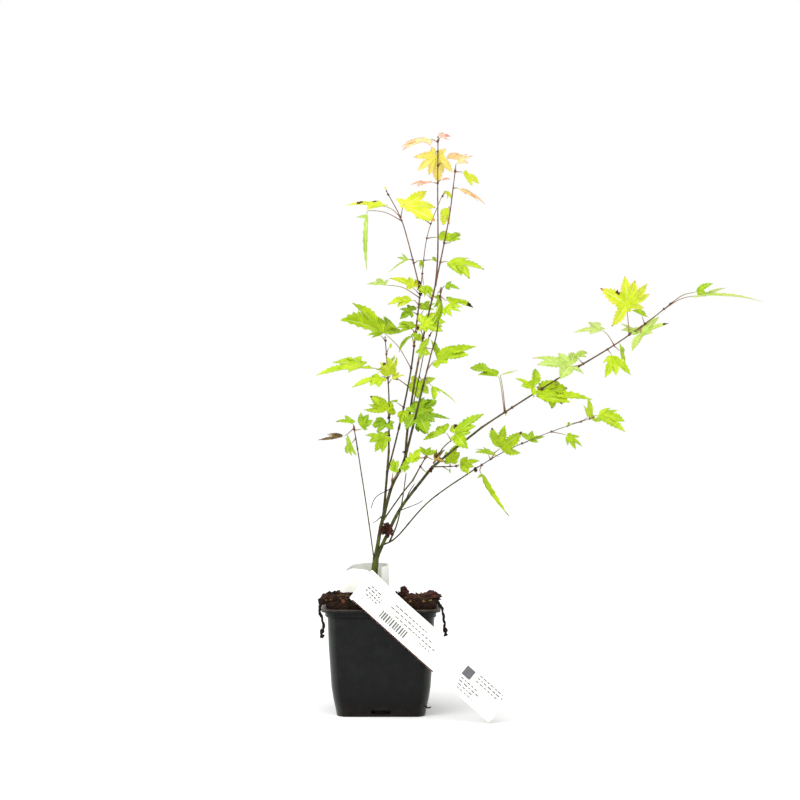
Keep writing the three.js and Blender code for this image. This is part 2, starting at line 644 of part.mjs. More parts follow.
function makeTag() {
  const frontOfRim = -(RIM_HALF + TAG.clear);
  const slope = TAG.slope * DEGREE;
  const solid = stripSolid(TAG.long, TAG.wide, TAG.thick, ...TAG.steps, (x, y, z) => {
    const across = TAG.middle[0] + x * Math.cos(slope) - y * Math.sin(slope);
    const high = TAG.middle[1] + x * Math.sin(slope) + y * Math.cos(slope);
    const over = Math.max(0, high - POT_HEIGHT - TAG.over.from);
    const under = Math.max(0, POT_HEIGHT - high);
    const deep = frontOfRim + over * TAG.over.lean - under * TAG.under.lean;
    return new THREE.Vector3(across, deep - z, high);
  });
  return place("tag", solid, COLOURS.tag, 0.4);
}

function makeLoop(tag) {
  const curve = middleLine(LOOP.plan);
  let solid = stripSolid(1, LOOP.high, LOOP.thick, LOOP.steps, 1, (x, y, z) => {
    const along = Math.min(1, Math.max(0, x + 0.5));
    const spot = curve.getPointAt(along);
    const way = curve.getTangentAt(along);
    const taper = 1 - (LOOP.taper * y) / LOOP.high;
    const high = LOOP.low + LOOP.high / 2 + y;
    return new THREE.Vector3(spot.x * taper + way.y * z, spot.y - way.x * z, high);
  });
  for (const shift of [[0, 0, 0], [0, CLEAR, 0], [0, 0, CLEAR]]) solid = solid.subtract(tag.translate(shift));
  place("tag_loop", solid, COLOURS.tag, 0.4);
}

function makeStrands() {
  for (const [name, line] of Object.entries(STRANDS)) {
    const solid = limbSolid(line, STRAND.foot, STRAND.tip, STEM_SIDES, STRAND.steps);
    place(name, solid, COLOURS.dead, 0.95);
  }
}

function makeClump(limbs) {
  const random = seeded(31);
  const ball = new THREE.IcosahedronGeometry(1, 1);
  ball.deleteAttribute("uv");
  ball.deleteAttribute("normal");
  const geometry = mergeVertices(ball, 1e-4);
  const spots = geometry.attributes.position;
  for (let i = 0; i < spots.count; i++) {
    const out = CLUMP.rough[0] + random() * CLUMP.rough[1];
    const spot = new THREE.Vector3().fromBufferAttribute(spots, i).multiplyScalar(out);
    spot.multiply(vector(CLUMP.size)).add(vector(CLUMP.at));
    spots.setXYZ(i, spot.x, spot.y, spot.z);
  }
  place("dry_clump", cutClear(solidOf(geometry), limbs), COLOURS.dead, 0.95);
}

makePot();
makeCompost();
makeChips();
const tag = makeTag();
makeLoop(tag);
makeStrands();

// The trunk and its boughs, each cut clear of those before it
const fatLimbs = [];
for (const [name, limb] of Object.entries(LIMBS)) {
  const steps = stepsOf(limb.line, BOUGH_STEP);
  let solid = limbSolid(limb.line, limb.foot, limb.tip, BOUGH_SIDES, steps);
  if (name === "trunk") solid = solid.add(limbSolid(FLARE.line, FLARE.foot, FLARE.tip, BOUGH_SIDES, 1));
  place(name, cutClear(solid, fatLimbs), limb.foot > 1.3 ? COLOURS.olive : COLOURS.plum);
  fatLimbs.push(limbSolid(limb.line, limb.foot, limb.tip, BOUGH_SIDES, steps, CLEAR));
}
makeClump(fatLimbs);

// The room that the leaf rows and the stems take up
const taken = [];
for (const shoot of Object.values(SHOOTS)) {
  for (const row of shoot.leaves) {
    const { middle, length } = leafPlaces(middleLine(shoot.line), row);
    taken.push({ spot: middle, reach: length * FILL.room });
  }
}
for (const limb of [...Object.values(LIMBS), ...Object.values(SHOOTS)]) {
  for (const spot of middleLine(limb.line).getSpacedPoints(12)) taken.push({ spot, reach: FILL.beside });
}

// The leafy shoots: a stem with its leaves fused on, clear of the limbs and of the other shoots' stems
const stems = {};
for (const [name, { line, foot, tip }] of Object.entries(SHOOTS)) {
  const steps = stepsOf(line, BOUGH_STEP);
  const thin = limbSolid(line, foot, tip, STEM_SIDES, steps);
  stems[name] = { thin, fat: limbSolid(line, foot, tip, STEM_SIDES, steps, CLEAR) };
}
const earlier = [];
for (const [name, shoot] of Object.entries(SHOOTS)) {
  const curve = middleLine(shoot.line);
  const random = seeded(shoot.seed);
  const others = Object.values(stems).filter((stem) => stem !== stems[name]).map((stem) => stem.fat);
  const pieces = [cutClear(stems[name].thin, [...fatLimbs, ...earlier])];
  for (const row of [...shoot.leaves, ...fillRows(shoot, taken)]) {
    for (const piece of leafSolids(curve, row, random)) {
      pieces.push(cutClear(piece, [...fatLimbs, ...others]));
    }
  }
  place(name + "_leaves", wasm.Manifold.union(pieces), COLOURS[shoot.leaves[0][6]], 0.6);
  earlier.push(stems[name].fat);
}

export default plant;
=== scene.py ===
# %% [markdown]
# # A young Japanese maple in its nursery pot
#
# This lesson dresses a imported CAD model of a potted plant. The solids say where every limb and every leaf
# is, and this script grows the finer plant in the same places: stems with swollen nodes, stalked leaves
# with toothed lobes, crumbly compost, a thin plastic pot and a strip tag. The CAD model is in metres, +Z
# up, with the origin in the middle of the pot's flat underside.

# %% Load the frame
from math import copysign, cos, exp, pi, radians, sin, sqrt

import bmesh
import bpy
import numpy as np
from mathutils import Matrix, Vector, noise


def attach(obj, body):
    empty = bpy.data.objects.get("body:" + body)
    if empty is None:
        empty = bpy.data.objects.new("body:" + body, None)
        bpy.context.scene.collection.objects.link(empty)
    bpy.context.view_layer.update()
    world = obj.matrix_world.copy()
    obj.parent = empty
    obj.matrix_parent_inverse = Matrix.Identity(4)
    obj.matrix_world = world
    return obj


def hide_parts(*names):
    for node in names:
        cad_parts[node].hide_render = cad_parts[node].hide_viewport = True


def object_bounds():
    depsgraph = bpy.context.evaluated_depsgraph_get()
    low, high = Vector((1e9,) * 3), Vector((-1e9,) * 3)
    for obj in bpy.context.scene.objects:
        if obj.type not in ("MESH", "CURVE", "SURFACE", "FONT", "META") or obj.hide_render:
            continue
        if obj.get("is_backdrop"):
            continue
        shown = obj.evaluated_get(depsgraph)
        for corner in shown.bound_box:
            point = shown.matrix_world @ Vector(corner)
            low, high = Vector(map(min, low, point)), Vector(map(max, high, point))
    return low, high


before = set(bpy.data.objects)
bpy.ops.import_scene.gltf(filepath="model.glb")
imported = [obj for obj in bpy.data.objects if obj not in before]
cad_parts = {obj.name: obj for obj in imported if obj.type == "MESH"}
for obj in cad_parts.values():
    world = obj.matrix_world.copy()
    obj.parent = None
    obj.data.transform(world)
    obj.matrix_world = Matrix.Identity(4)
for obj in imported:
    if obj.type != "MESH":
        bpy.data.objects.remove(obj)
CAD_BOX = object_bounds()
MM = 0.001
print("CAD box in mm:", [[round(v / MM) for v in corner] for corner in CAD_BOX])

# %% [markdown]
# ## The camera, the light and the floor
#
# The photograph was taken from the front, level with the middle of the plant, from about a metre and a
# half. One pixel is 0.763 mm on the plane of the stems. Softboxes of a product studio would light it from
# both sides and from above and leave next to no shadow, so two large area lights, a wide soft sun and a
# bright white world stand in for them.

# %% Camera
MM_PER_PIXEL = 0.763
PHOTO_WIDTH = 800
CAMERA = Vector((14.2, -1500, 236.6)) * MM
SENSOR = 36


def in_scene(name, data):
    """A mesh, a light or a camera as a new object of the scene."""
    thing = bpy.data.objects.new(name, data)
    bpy.context.scene.collection.objects.link(thing)
    return thing


camera_data = bpy.data.cameras.new("camera")
camera_data.sensor_width = SENSOR
camera_data.lens = SENSOR * -CAMERA.y / (PHOTO_WIDTH * MM_PER_PIXEL * MM)
camera = in_scene("camera", camera_data)
camera.location = CAMERA
camera.rotation_euler = (radians(90), 0, 0)
bpy.context.scene.camera = camera
bpy.context.scene.view_settings.view_transform = "Standard"
print("lens in mm:", round(camera_data.lens, 2))


# %% Light and floor
def area_light(name, place, aim, size, watts):
    """A square softbox that faces a point."""
    light = bpy.data.lights.new(name, "AREA")
    light.size = size
    light.energy = watts
    lamp = in_scene(name, light)
    lamp.location = place
    lamp.rotation_euler = (Vector(aim) - Vector(place)).to_track_quat("-Z", "Y").to_euler()


MIDDLE = (0.06, 0, 0.2)
area_light("softbox_left", (-1.0, -1.1, 1.1), MIDDLE, size=0.9, watts=9)
area_light("softbox_right", (1.2, -0.9, 0.9), MIDDLE, size=0.9, watts=4)
sky_light = bpy.data.lights.new("ceiling", "SUN")
sky_light.energy = 1.9
sky_light.angle = radians(70)
ceiling = in_scene("ceiling", sky_light)
ceiling.rotation_euler = (radians(24), radians(-14), 0)

# The camera sees a pure white world, and the plant gets a softer light from it
WORLD_LIGHT = 0.55
world = bpy.data.worlds.new("studio")
world.use_nodes = True
tree = world.node_tree
background = tree.nodes["Background"]
background.inputs["Color"].default_value = (1, 1, 1, 1)
ray = tree.nodes.new("ShaderNodeLightPath")
level = tree.nodes.new("ShaderNodeMapRange")
level.inputs["To Min"].default_value = WORLD_LIGHT
level.inputs["To Max"].default_value = 1.0
tree.links.new(ray.outputs["Is Camera Ray"], level.inputs["Value"])
tree.links.new(level.outputs["Result"], background.inputs["Strength"])
bpy.context.scene.world = world


def to_object(bm, name):
    """A bmesh as a new object of the scene, with its place in its mesh."""
    mesh = bpy.data.meshes.new(name)
    bm.to_mesh(mesh)
    bm.free()
    return in_scene(name, mesh)


def plain(name, colour, roughness, specular=0.5):
    """A material of one colour, which the export keeps as it is."""
    material = bpy.data.materials.new(name)
    material.use_nodes = True
    shader = material.node_tree.nodes["Principled BSDF"]
    shader.inputs["Base Color"].default_value = (*colour, 1)
    shader.inputs["Roughness"].default_value = roughness
    shader.inputs["Specular IOR Level"].default_value = specular
    return material


bm = bmesh.new()
bmesh.ops.create_circle(bm, cap_ends=True, segments=96, radius=4)
floor = to_object(bm, "floor")
# The floor glows a little, like a light table, so that the shadows on it stay pale
floor_paper = plain("floor_paper", (0.93, 0.93, 0.93), roughness=0.9, specular=0.1)
floor_light = floor_paper.node_tree.nodes["Principled BSDF"].inputs
floor_light["Emission Color"].default_value = (1, 1, 1, 1)
floor_light["Emission Strength"].default_value = 0.13
floor.data.materials.append(floor_paper)
floor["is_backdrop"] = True

# %% [markdown]
# ## The plan of the plant
#
# A limb is a middle line with a radius at each end, in millimetres. The first table holds the bare limbs,
# from the trunk to the dead twigs, and the second the shoots that bear leaves. In the third a leaf's row
# says where on the stem it sits, how its petiole and its blade point and how long they are as seen from the
# front, how it leans back, how far its face is rolled up to the sky, how wide it spreads, and its tint, if
# that isn't lime. These are the rows of the solids, so each leaf grows in the space that its solid keeps
# for it.

# %% Limbs and shoots
def stem(foot, tip, *line, **growth):
    """A stem's radius at its foot and at its tip, the points of its middle line, and how leaves fill it."""
    return {"foot": foot, "tip": tip, "line": line, **growth}


LIMBS = {
    "trunk": stem(2.9, 2.5, [-5.8, 0, 90.8], [-5.3, 0, 104], [-4.1, 0, 118]),
    "left_bough": stem(1.95, 1.75, [-4.1, 0, 118], [-0.6, 0, 139], [1.4, 0, 147]),
    "right_bough": stem(1.8, 1.25, [-3.4, 0, 117], [3.5, -1, 132], [14.5, -5, 154], [31, -9, 176],
        [39, -11, 186]),
    "rear_bough": stem(1.25, 1, [1.4, 0, 147], [3.3, 3, 168], [5.6, 6, 197]),
    "front_bough": stem(1.4, 1.2, [1.4, 0, 147], [7.7, -3, 170], [15.5, -5, 186], [18.4, -6, 194]),
    "inner_bough": stem(0.9, 0.8, [4.4, 4.6, 181], [8.1, 10, 194], [13.4, 14, 215]),
    "centre_bough": stem(1, 0.8, [18.4, -6, 194], [19.8, -5, 213], [25.5, -3, 252]),
    "outer_bough": stem(0.95, 0.8, [18.4, -6, 194], [23.6, -15, 215], [32, -22, 249]),
    "diagonal_bough": stem(0.75, 0.7, [2.2, -1.4, 146], [15, -9, 164.5], [24, -12, 176]),
    "right_arm": stem(1.15, 1, [39, -11, 186], [56, -14, 200], [76, -17, 216]),
    "low_bough": stem(1, 0.8, [1.2, 0.4, 126], [12, 6, 132], [37, 12, 159], [73, 18, 184]),
    "olive_twig": stem(0.8, 0.45, [6.6, 3.4, 129], [12, 5, 142], [16, 7, 160], [19, 9, 181]),
    "side_twig": stem(0.75, 0.6, [-5.4, -1.6, 114], [-11, -6, 154], [-18, -12, 200]),
    "dead_twig_left": stem(0.45, 0.35, [7, -4, 169], [-4, -9, 163], [-8, -12, 154]),
    "dead_twig_right": stem(0.45, 0.35, [14, -6.5, 152.5], [27, -12, 158], [32, -13, 161]),
    "dead_stub": stem(0.55, 0.4, [18.6, -5, 160], [21, -1, 166], [25.6, 0, 173]),
}
SHOOTS = {
    "centre_shoot": stem(0.8, 0.65, [25.5, -3, 252], [32, -1, 285], [41.4, -2, 325], seed=3, fill=2),
    "top_left": stem(0.65, 0.4, [41.4, -2, 325], [43.1, 0, 351], [43, 3, 398], [43.3, 4, 437],
        seed=1, fill=2),
    "top_right": stem(0.6, 0.4, [41.4, -2, 325], [48, -8, 357], [52.2, -11, 380], [56.1, -12, 411],
        seed=2, fill=2),
    "outer_shoot": stem(0.8, 0.5, [32, -22, 249], [37.5, -23, 271], [42, -22, 288], [45, -19, 320],
        seed=4, fill=2),
    "slender_shoot": stem(0.6, 0.4, [23.6, -3.6, 230], [29, 6, 255], [34, 9, 279], [37.5, 10, 287],
        seed=5, fill=1),
    "inner_shoot": stem(0.8, 0.6, [13.4, 14, 215], [19, 18, 240], [23, 21, 262], [26, 22, 286],
        [30, 20, 321], seed=6, fill=3),
    "upper_left": stem(0.55, 0.35, [30, 20, 321], [20.6, 15, 358], [14.5, 11, 377], [4.2, 6, 396],
        seed=7, fill=1),
    "upper_inner": stem(0.55, 0.35, [30, 20, 321], [35, 24, 362], [44.7, 26, 390], [48, 26, 396],
        seed=8, fill=1),
    "rear_shoot": stem(1, 0.5, [5.6, 6, 197], [5.8, 10, 235], [3.8, 14, 270], [2.8, 16, 284],
        seed=9, fill=2),
    "dark_sprig": stem(0.6, 0.5, [21, -4.6, 218.5], [23, -8, 220.5], seed=10, fill=0),
    "side_tip": stem(0.6, 0.45, [-18, -12, 200], [-20.6, -14, 216], seed=11, fill=1),
    "front_sprig": stem(0.6, 0.5, [7.8, -3.2, 170.5], [8.1, -6, 175.7], seed=12, fill=0),
    "diagonal_shoot": stem(0.7, 0.5, [24, -12, 176], [28.6, -13, 184.5], [34, -14, 194], seed=13, fill=1),
    "right_twig": stem(0.65, 0.5, [40, -13, 189.5], [47, -19, 201], [54, -22, 207], seed=14, fill=1),
    "flat_twig": stem(0.6, 0.45, [41, -10, 186], [50.4, -4, 186], [57.3, 0, 186.2], seed=15, fill=1),
    "right_middle": stem(1, 0.8, [76, -17, 216], [91, -19, 226], [130, -25, 251], [147, -27, 261],
        seed=16, fill=2),
    "right_tip": stem(0.8, 0.45, [147, -27, 261], [174, -31, 277.5], [199, -34, 295], [216, -36, 308.5],
        seed=17, fill=2),
    "low_shoot": stem(0.8, 0.45, [73, 18, 184], [96.6, 21, 197.5], [131.5, 25, 212], [163.4, 28, 222.6],
        seed=18, fill=2),
}
LEAVES = {
    "centre_shoot": [
        [0.44, [105, 10], [4, 21], -10, 25, 1.2, "gold"],
        [0.17, [81, 9], [52, 14], -6, 35, 1, "deep"],
        [0.84, [136, 6], [119, 8], 28, 40, 0.9],
        [0.88, [-37, 5], [-45, 6], 38, 40, 0.8],
    ],
    "top_left": [
        [0.97, [153, 5], [-164, 28], -12, 68, 0.7, "orange"],
        [0.98, [64, 3], [29, 8], 30, 30, 0.7, "pink"],
        [0.91, [200, 2], [-82, 23], -22, 10, 1.1, "yellow"],
        [0.81, [45, 9], [23, 12], 38, 30, 0.8, "orange"],
        [0.69, [167, 3], [177, 15], 20, 78, 0.6, "pink"],
        [0.7, [30, 3], [8, 6], -30, 70, 0.6, "pink"],
    ],
    "top_right": [
        [0.99, [84, 5], [21, 15], -18, 72, 0.8, "orange"],
        [0.98, [2, 5], [-36, 17], 14, 40, 0.9, "gold"],
        [0.84, [1, 3], [-30, 26], -12, 72, 0.6, "orange"],
        [0.65, [107, 3], [-109, 14], 30, 40, 0.8],
        [0.19, [10, 4], [-8, 32], -28, 60, 1],
        [0.36, [10, 5], [65, 11], 40, 35, 0.8],
    ],
    "outer_shoot": [
        [0.15, [51, 8], [16, 34], -10, 58, 1],
        [0.06, [-52, 7], [-31, 24], -18, 68, 0.35, "deep"],
        [0.93, [-41, 5], [-12, 22], -8, 62, 0.9],
        [0.99, [51, 4], [13, 13], -20, 55, 0.8, "deep"],
        [0.92, [-77, 9], [-8, 12], -40, 45, 0.8],
        [0.97, [179, 2], [-87, 25], -15, 74, 0.5],
    ],
    "slender_shoot": [
        [0.44, [-54, 3], [-128, 13], 28, 40, 1],
        [0.85, [144, 5], [121, 9], 30, 40, 0.8],
        [0.98, [60, 5], [45, 9], 40, 45, 0.8],
    ],
    "inner_shoot": [
        [0.44, [127, 32], [145, 36], -22, 56, 0.9],
        [0.31, [156, 37], [-172, 37], 6, 66, 1],
        [0.06, [79, 8], [-66, 13], -34, 30, 1, "deep"],
        [0.6, [101, 9], [-131, 17], 16, 68, 0.5],
        [0.67, [107, 6], [142, 13], 40, 40, 0.9],
        [0.7, [141, 5], [156, 8], -30, 65, 0.6],
        [0.83, [154, 5], [169, 12], -20, 48, 1, "deep"],
        [0.9, [136, 5], [-174, 21], 10, 52, 0.8],
        [0.97, [134, 7], [155, 16], -22, 35, 1.1],
        [0.95, [158, 28], [-177, 15], 22, 60, 0.7],
    ],
    "upper_left": [
        [0.72, [78, 10], [-26, 25], -14, 26, 1.15, "gold"],
        [0.73, [144, 14], [174, 31], 12, 72, 0.8, "yellow"],
        [0.69, [164, 27], [-95, 43], -6, 30, 0.08, "gold"],
        [0.3, [165, 3], [-149, 18], -20, 55, 0.7],
        [0.27, [33, 5], [-58, 7], 30, 50, 0.7],
        [0.97, [119, 4], [103, 7], 20, 40, 0.6, "gold"],
    ],
    "upper_inner": [
        [0.53, [6, 8], [-13, 14], -16, 25, 1],
        [0.98, [61, 5], [-56, 8], -20, 55, 0.7, "gold"],
        [0.17, [-83, 9], [-56, 11], -24, 45, 0.9],
        [0.68, [143, 8], [158, 12], 35, 40, 0.8],
    ],
    "rear_shoot": [
        [0.65, [40, 2], [93, 16], -18, 45, 0.6],
        [0.64, [148, 4], [-155, 27], -14, 50, 1],
        [0.6, [54, 4], [32, 10], 20, 50, 0.6],
        [0.32, [116, 3], [135, 18], -16, 25, 1.15],
        [0.22, [103, 3], [-155, 14], 12, 40, 1.1, "deep"],
        [0.14, [180, 2], [-151, 17], -22, 35, 1.1],
        [0.86, [70, 5], [40, 9], -42, 40, 0.9],
        [0.98, [131, 5], [144, 10], 25, 45, 0.8],
    ],
    "dark_sprig": [
        [0.9, [77, 7], [-11, 29], -18, 45, 1.05, "deep"],
        [0.9, [-27, 3], [-41, 15], -8, 50, 0.8, "deep"],
        [0.9, [65, 11], [40, 12], 12, 40, 0.9, "deep"],
    ],
    "side_tip": [
        [0.86, [9, 5], [53, 16], -14, 30, 1.1],
        [0.91, [104, 4], [163, 13], 10, 66, 0.9],
        [0.96, [-139, 9], [-175, 19], -18, 50, 0.7, "brown"],
    ],
    "front_sprig": [
        [0.9, [83, 6], [83, 13], -20, 25, 1.1],
        [0.9, [42, 11], [48, 10], -30, 30, 1, "gold"],
    ],
    "diagonal_shoot": [
        [0.95, [-159, 11], [50, 13], -30, 28, 1.1, "gold"],
        [0.9, [79, 2], [35, 12], -10, 40, 1, "deep"],
        [0.99, [-23, 6], [34, 11], -14, 45, 0.6, "brown"],
    ],
    "right_twig": [
        [0.99, [78, 3], [38, 26], -8, 52, 0.9, "gold"],
        [0.93, [121, 7], [-170, 18], 5, 50, 0.8],
        [0.98, [-15, 2], [-61, 10], -30, 40, 0.7, "orange"],
    ],
    "flat_twig": [
        [0.7, [90, 2], [72, 12], -18, 28, 1.1],
        [0.98, [22, 2], [13, 16], -10, 45, 1.1],
    ],
    "right_middle": [
        [0.24, [99, 27], [162, 22], -8, 60, 0.7],
        [0.25, [97, 28], [14, 16], 10, 66, 0.6],
        [0.62, [-140, 8], [0, 34], -16, 44, 1.2],
        [0.63, [160, 5], [161, 16], -28, 45, 0.9],
        [0.78, [-84, 9], [-103, 14], 10, 40, 0.7],
    ],
    "right_tip": [
        [0.06, [194, 8], [163, 26], -14, 50, 1.3, "pale"],
        [0.06, [127, 6], [51, 10], 26, 40, 0.8, "pale"],
        [0.31, [-50, 4], [-72, 20], -16, 25, 1.05],
        [0.54, [97, 21], [92, 23], -14, 14, 1.25, "gold"],
        [0.38, [125, 13], [169, 27], 16, 68, 0.9, "pale"],
        [0.66, [-90, 5], [20, 22], -24, 50, 1.1, "gold"],
        [0.67, [-117, 5], [163, 13], 8, 55, 0.7, "gold"],
        [0.92, [21, 28], [-1, 47], -4, 70, 0.3],
        [0.99, [25, 22], [62, 11], 14, 40, 0.9],
    ],
    "low_shoot": [
        [0.14, [53, 10], [88, 14], -44, 20, 1.4],
        [0.41, [18, 5], [43, 13], 24, 40, 0.9],
        [0.66, [-12, 11], [-40, 17], -12, 35, 1.2],
        [0.91, [31, 6], [96, 15], 14, 60, 0.4],
        [0.98, [30, 5], [4, 26], -14, 42, 1.3],
        [0.05, [-108, 5], [-51, 40], -12, 55, 0.1],
    ],
}
COMMON_TINT = "lime"

# Small leaves that the seeded rule adds where there is room; a pair is [least, range]
FILL = {
    "along": [0.12, 0.82], "blade": [12, 9], "petiole": [6, 7], "lean": [30, 35], "bend": 20,
    "roll": 35, "spread": 0.95, "tries": 14, "room": 0.62, "beside": 3,
}
print(len(LIMBS), "limbs,", len(SHOOTS), "shoots,", sum(len(r) for r in LEAVES.values()), "leaf rows")


# %% [markdown]
# ## The rules that the solids were grown by
#
# Two rules have to give the same numbers here as in the solids: the row of random numbers, and the smooth
# middle line through a limb's points. The line is a cubic through four neighbouring points at a time, and a
# place on it is found by its share of the whole length, so that a leaf sits where its solid does.

# %% The random row and the middle line
FIRST, TIMES, PLUS, WRAP = 7919, 1664525, 1013904223, 2**32
FULL_TURN = 6.28


def seeded(seed):
    """A repeatable row of numbers from 0 to 1."""
    state = seed * FIRST
    while True:
        state = (state * TIMES + PLUS) % WRAP
        yield state / WRAP


def draw(row, pair):
    """The next number of a row, stretched to [least, range]."""
    return pair[0] + next(row) * pair[1]


class Line:
    """The smooth middle line of a limb, in millimetres."""

    STEPS = 200

    def __init__(self, points):
        self.points = np.array(points, float)
        self.spots = np.array([self.spot(i / self.STEPS) for i in range(self.STEPS + 1)])
        self.run = np.r_[0, np.cumsum(np.linalg.norm(np.diff(self.spots, axis=0), axis=1))]
        self.length = self.run[-1]

    def spot(self, t):
        last = len(self.points) - 1
        k = min(int(t * last), last - 1)
        w = t * last - k
        b, c = self.points[k], self.points[k + 1]
        a = self.points[k - 1] if k > 0 else 2 * b - c
        d = self.points[k + 2] if k < last - 1 else 2 * c - b
        way_b, way_c = (c - a) / 2, (d - b) / 2
        turn = 3 * (c - b) - 2 * way_b - way_c
        return b + way_b * w + turn * w**2 + (2 * (b - c) + way_b + way_c) * w**3

    def at(self, share):
        t = np.interp(share * self.length, self.run, np.arange(self.STEPS + 1) / self.STEPS)
        return self.spot(t)

    def places(self, shares):
        return np.array([self.at(share) for share in shares])

    def way(self, share):
        step = 1e-3
        ahead = self.at(min(1, share + step)) - self.at(max(0, share - step))
        return ahead / np.linalg.norm(ahead)


def unit(v):
    return v / np.linalg.norm(v)


def leaf_frame(way, lean, roll):
    """The directions of a leaf's midrib, of its side and of its upper face."""
    flat, turn = cos(radians(lean)), radians(way)
    rib = np.array([cos(turn) * flat, sin(radians(lean)), sin(turn) * flat])
    front = np.array([0.0, -1.0, 0.0])
    front = unit(front - front.dot(rib) * rib)
    sky = np.cross(front, rib)
    if sky[2] < 0:
        sky = -sky
    face = front * cos(radians(roll)) + sky * sin(radians(roll))
    return rib, np.cross(face, rib), face


def leaf_places(line, leaf):
    """Where a leaf row puts its node, its petiole's end, its blade's middle and its frame."""
    along, petiole, blade, lean, roll = leaf[:5]
    flat = cos(radians(lean))
    node = line.at(along)
    base = node + leaf_frame(petiole[0], lean, 0)[0] * petiole[1] / flat
    axes = leaf_frame(blade[0], lean, roll)
    length = blade[1] / flat
    return node, base, base + axes[0] * length / 2, axes, length


def fill_rows(shoot, line, taken):
    """The rows of small leaves that the seeded rule adds to a shoot, where they have room."""
    row, rows = seeded(shoot["seed"] + 100), []
    for _ in range(FILL["tries"]):
        if len(rows) >= shoot["fill"]:
            break
        along = draw(row, FILL["along"])
        way = next(row) * 360 - 180
        petiole, blade, lean = (draw(row, FILL[k]) for k in ("petiole", "blade", "lean"))
        bent = way + FILL["bend"] * (next(row) - 0.5)
        flat = cos(radians(lean))
        places = [along, [way, petiole * flat], [bent, blade * flat]]
        leaf = [*places, lean, FILL["roll"], FILL["spread"]]
        middle, length = leaf_places(line, leaf)[2::2]
        reach = length * FILL["room"]
        if all(np.linalg.norm(spot - middle) > far + reach for spot, far in taken):
            rows.append(leaf)
            taken.append((middle, reach))
    return rows


lines = {name: Line(limb["line"]) for name, limb in {**LIMBS, **SHOOTS}.items()}
taken = []
for name, leaves in LEAVES.items():
    for leaf in leaves:
        middle, length = leaf_places(lines[name], leaf)[2::2]
        taken.append((middle, length * FILL["room"]))
for line in lines.values():
    taken += [(line.at(share), FILL["beside"]) for share in np.arange(13) / 12]
rows = {}
for name, shoot in SHOOTS.items():
    every = LEAVES[name] + fill_rows(shoot, lines[name], taken)
    rows[name] = [[*leaf, COMMON_TINT][:7] for leaf in every]
stem_long = round(sum(line.length for line in lines.values()))
print(sum(len(r) for r in rows.values()), "leaves on", stem_long, "mm of stem")

# %% [markdown]
# ## Effects that several finishes share
#
# Bark, compost, bark chips and dry roots all have streaks and specks. Each effect is a node group made
# once, with named inputs, and every material gives it its own scale. The groups read Object coordinates, so
# a pattern stays where it is on the plant.


# %% Shared node groups
def new_group(name, inputs, outputs):
    """An empty node group with its sockets, and its two end nodes."""
    group = bpy.data.node_groups.new(name, "ShaderNodeTree")
    for label, kind, value in inputs:
        socket = group.interface.new_socket(label, in_out="INPUT", socket_type=kind)
        if value is not None:
            socket.default_value = value
    for label, kind in outputs:
        group.interface.new_socket(label, in_out="OUTPUT", socket_type=kind)
    return group, group.nodes.new("NodeGroupInput"), group.nodes.new("NodeGroupOutput")


def wire(tree, *links):
    """Links of a tree, each as a node, its output, the next node and its input."""
    for node, output, target, socket in links:
        tree.links.new(node.outputs[output], target.inputs[socket])


def add(tree, kind, **values):
    """A node with its settings and its unlinked inputs."""
    node = tree.nodes.new(kind)
    for key, value in values.items():
        if key in node.inputs:
            node.inputs[key].default_value = value
        else:
            setattr(node, key, value)
    return node


def paint(colour):
    """A colour in the linear numbers of shaders, from a code such as #aad400, from a grey, or as it is."""
    if isinstance(colour, str):
        parts = [int(colour[i:i + 2], 16) / 255 for i in (1, 3, 5)]
        return tuple(c / 12.92 if c <= 0.04045 else ((c + 0.055) / 1.055) ** 2.4 for c in parts)
    return colour if isinstance(colour, tuple) else (colour,) * 3


VECTOR, FLOAT = "NodeSocketVector", "NodeSocketFloat"

# Streaks: noise that is drawn out along the limbs, which mostly run upwards
streaks, start, end = new_group(
    "streaks", [("Place", VECTOR, None), ("Scale", FLOAT, 900), ("Stretch", VECTOR, (1, 1, 0.12))],
    [("Streak", FLOAT), ("Blotch", FLOAT)])
drawn = add(streaks, "ShaderNodeVectorMath", operation="MULTIPLY")
fine = add(streaks, "ShaderNodeTexNoise", Detail=4.0, Roughness=0.6)
broad = add(streaks, "ShaderNodeTexNoise", Scale=140.0, Detail=3.0)
wire(streaks, (start, "Place", drawn, 0), (start, "Stretch", drawn, 1), (drawn, "Vector", fine, "Vector"),
     (start, "Scale", fine, "Scale"), (start, "Place", broad, "Vector"), (fine, "Fac", end, "Streak"),
     (broad, "Fac", end, "Blotch"))

# Specks: small round spots, for lenticels in bark and grit on plastic
specks, start, end = new_group(
    "specks", [("Place", VECTOR, None), ("Scale", FLOAT, 400), ("Size", FLOAT, 0.25)], [("Speck", FLOAT)])
cells = add(specks, "ShaderNodeTexVoronoi")
small = add(specks, "ShaderNodeMath", operation="LESS_THAN")
wire(specks, (start, "Place", cells, "Vector"), (start, "Scale", cells, "Scale"),
     (cells, "Distance", small, 0), (start, "Size", small, 1), (small, "Value", end, "Speck"))


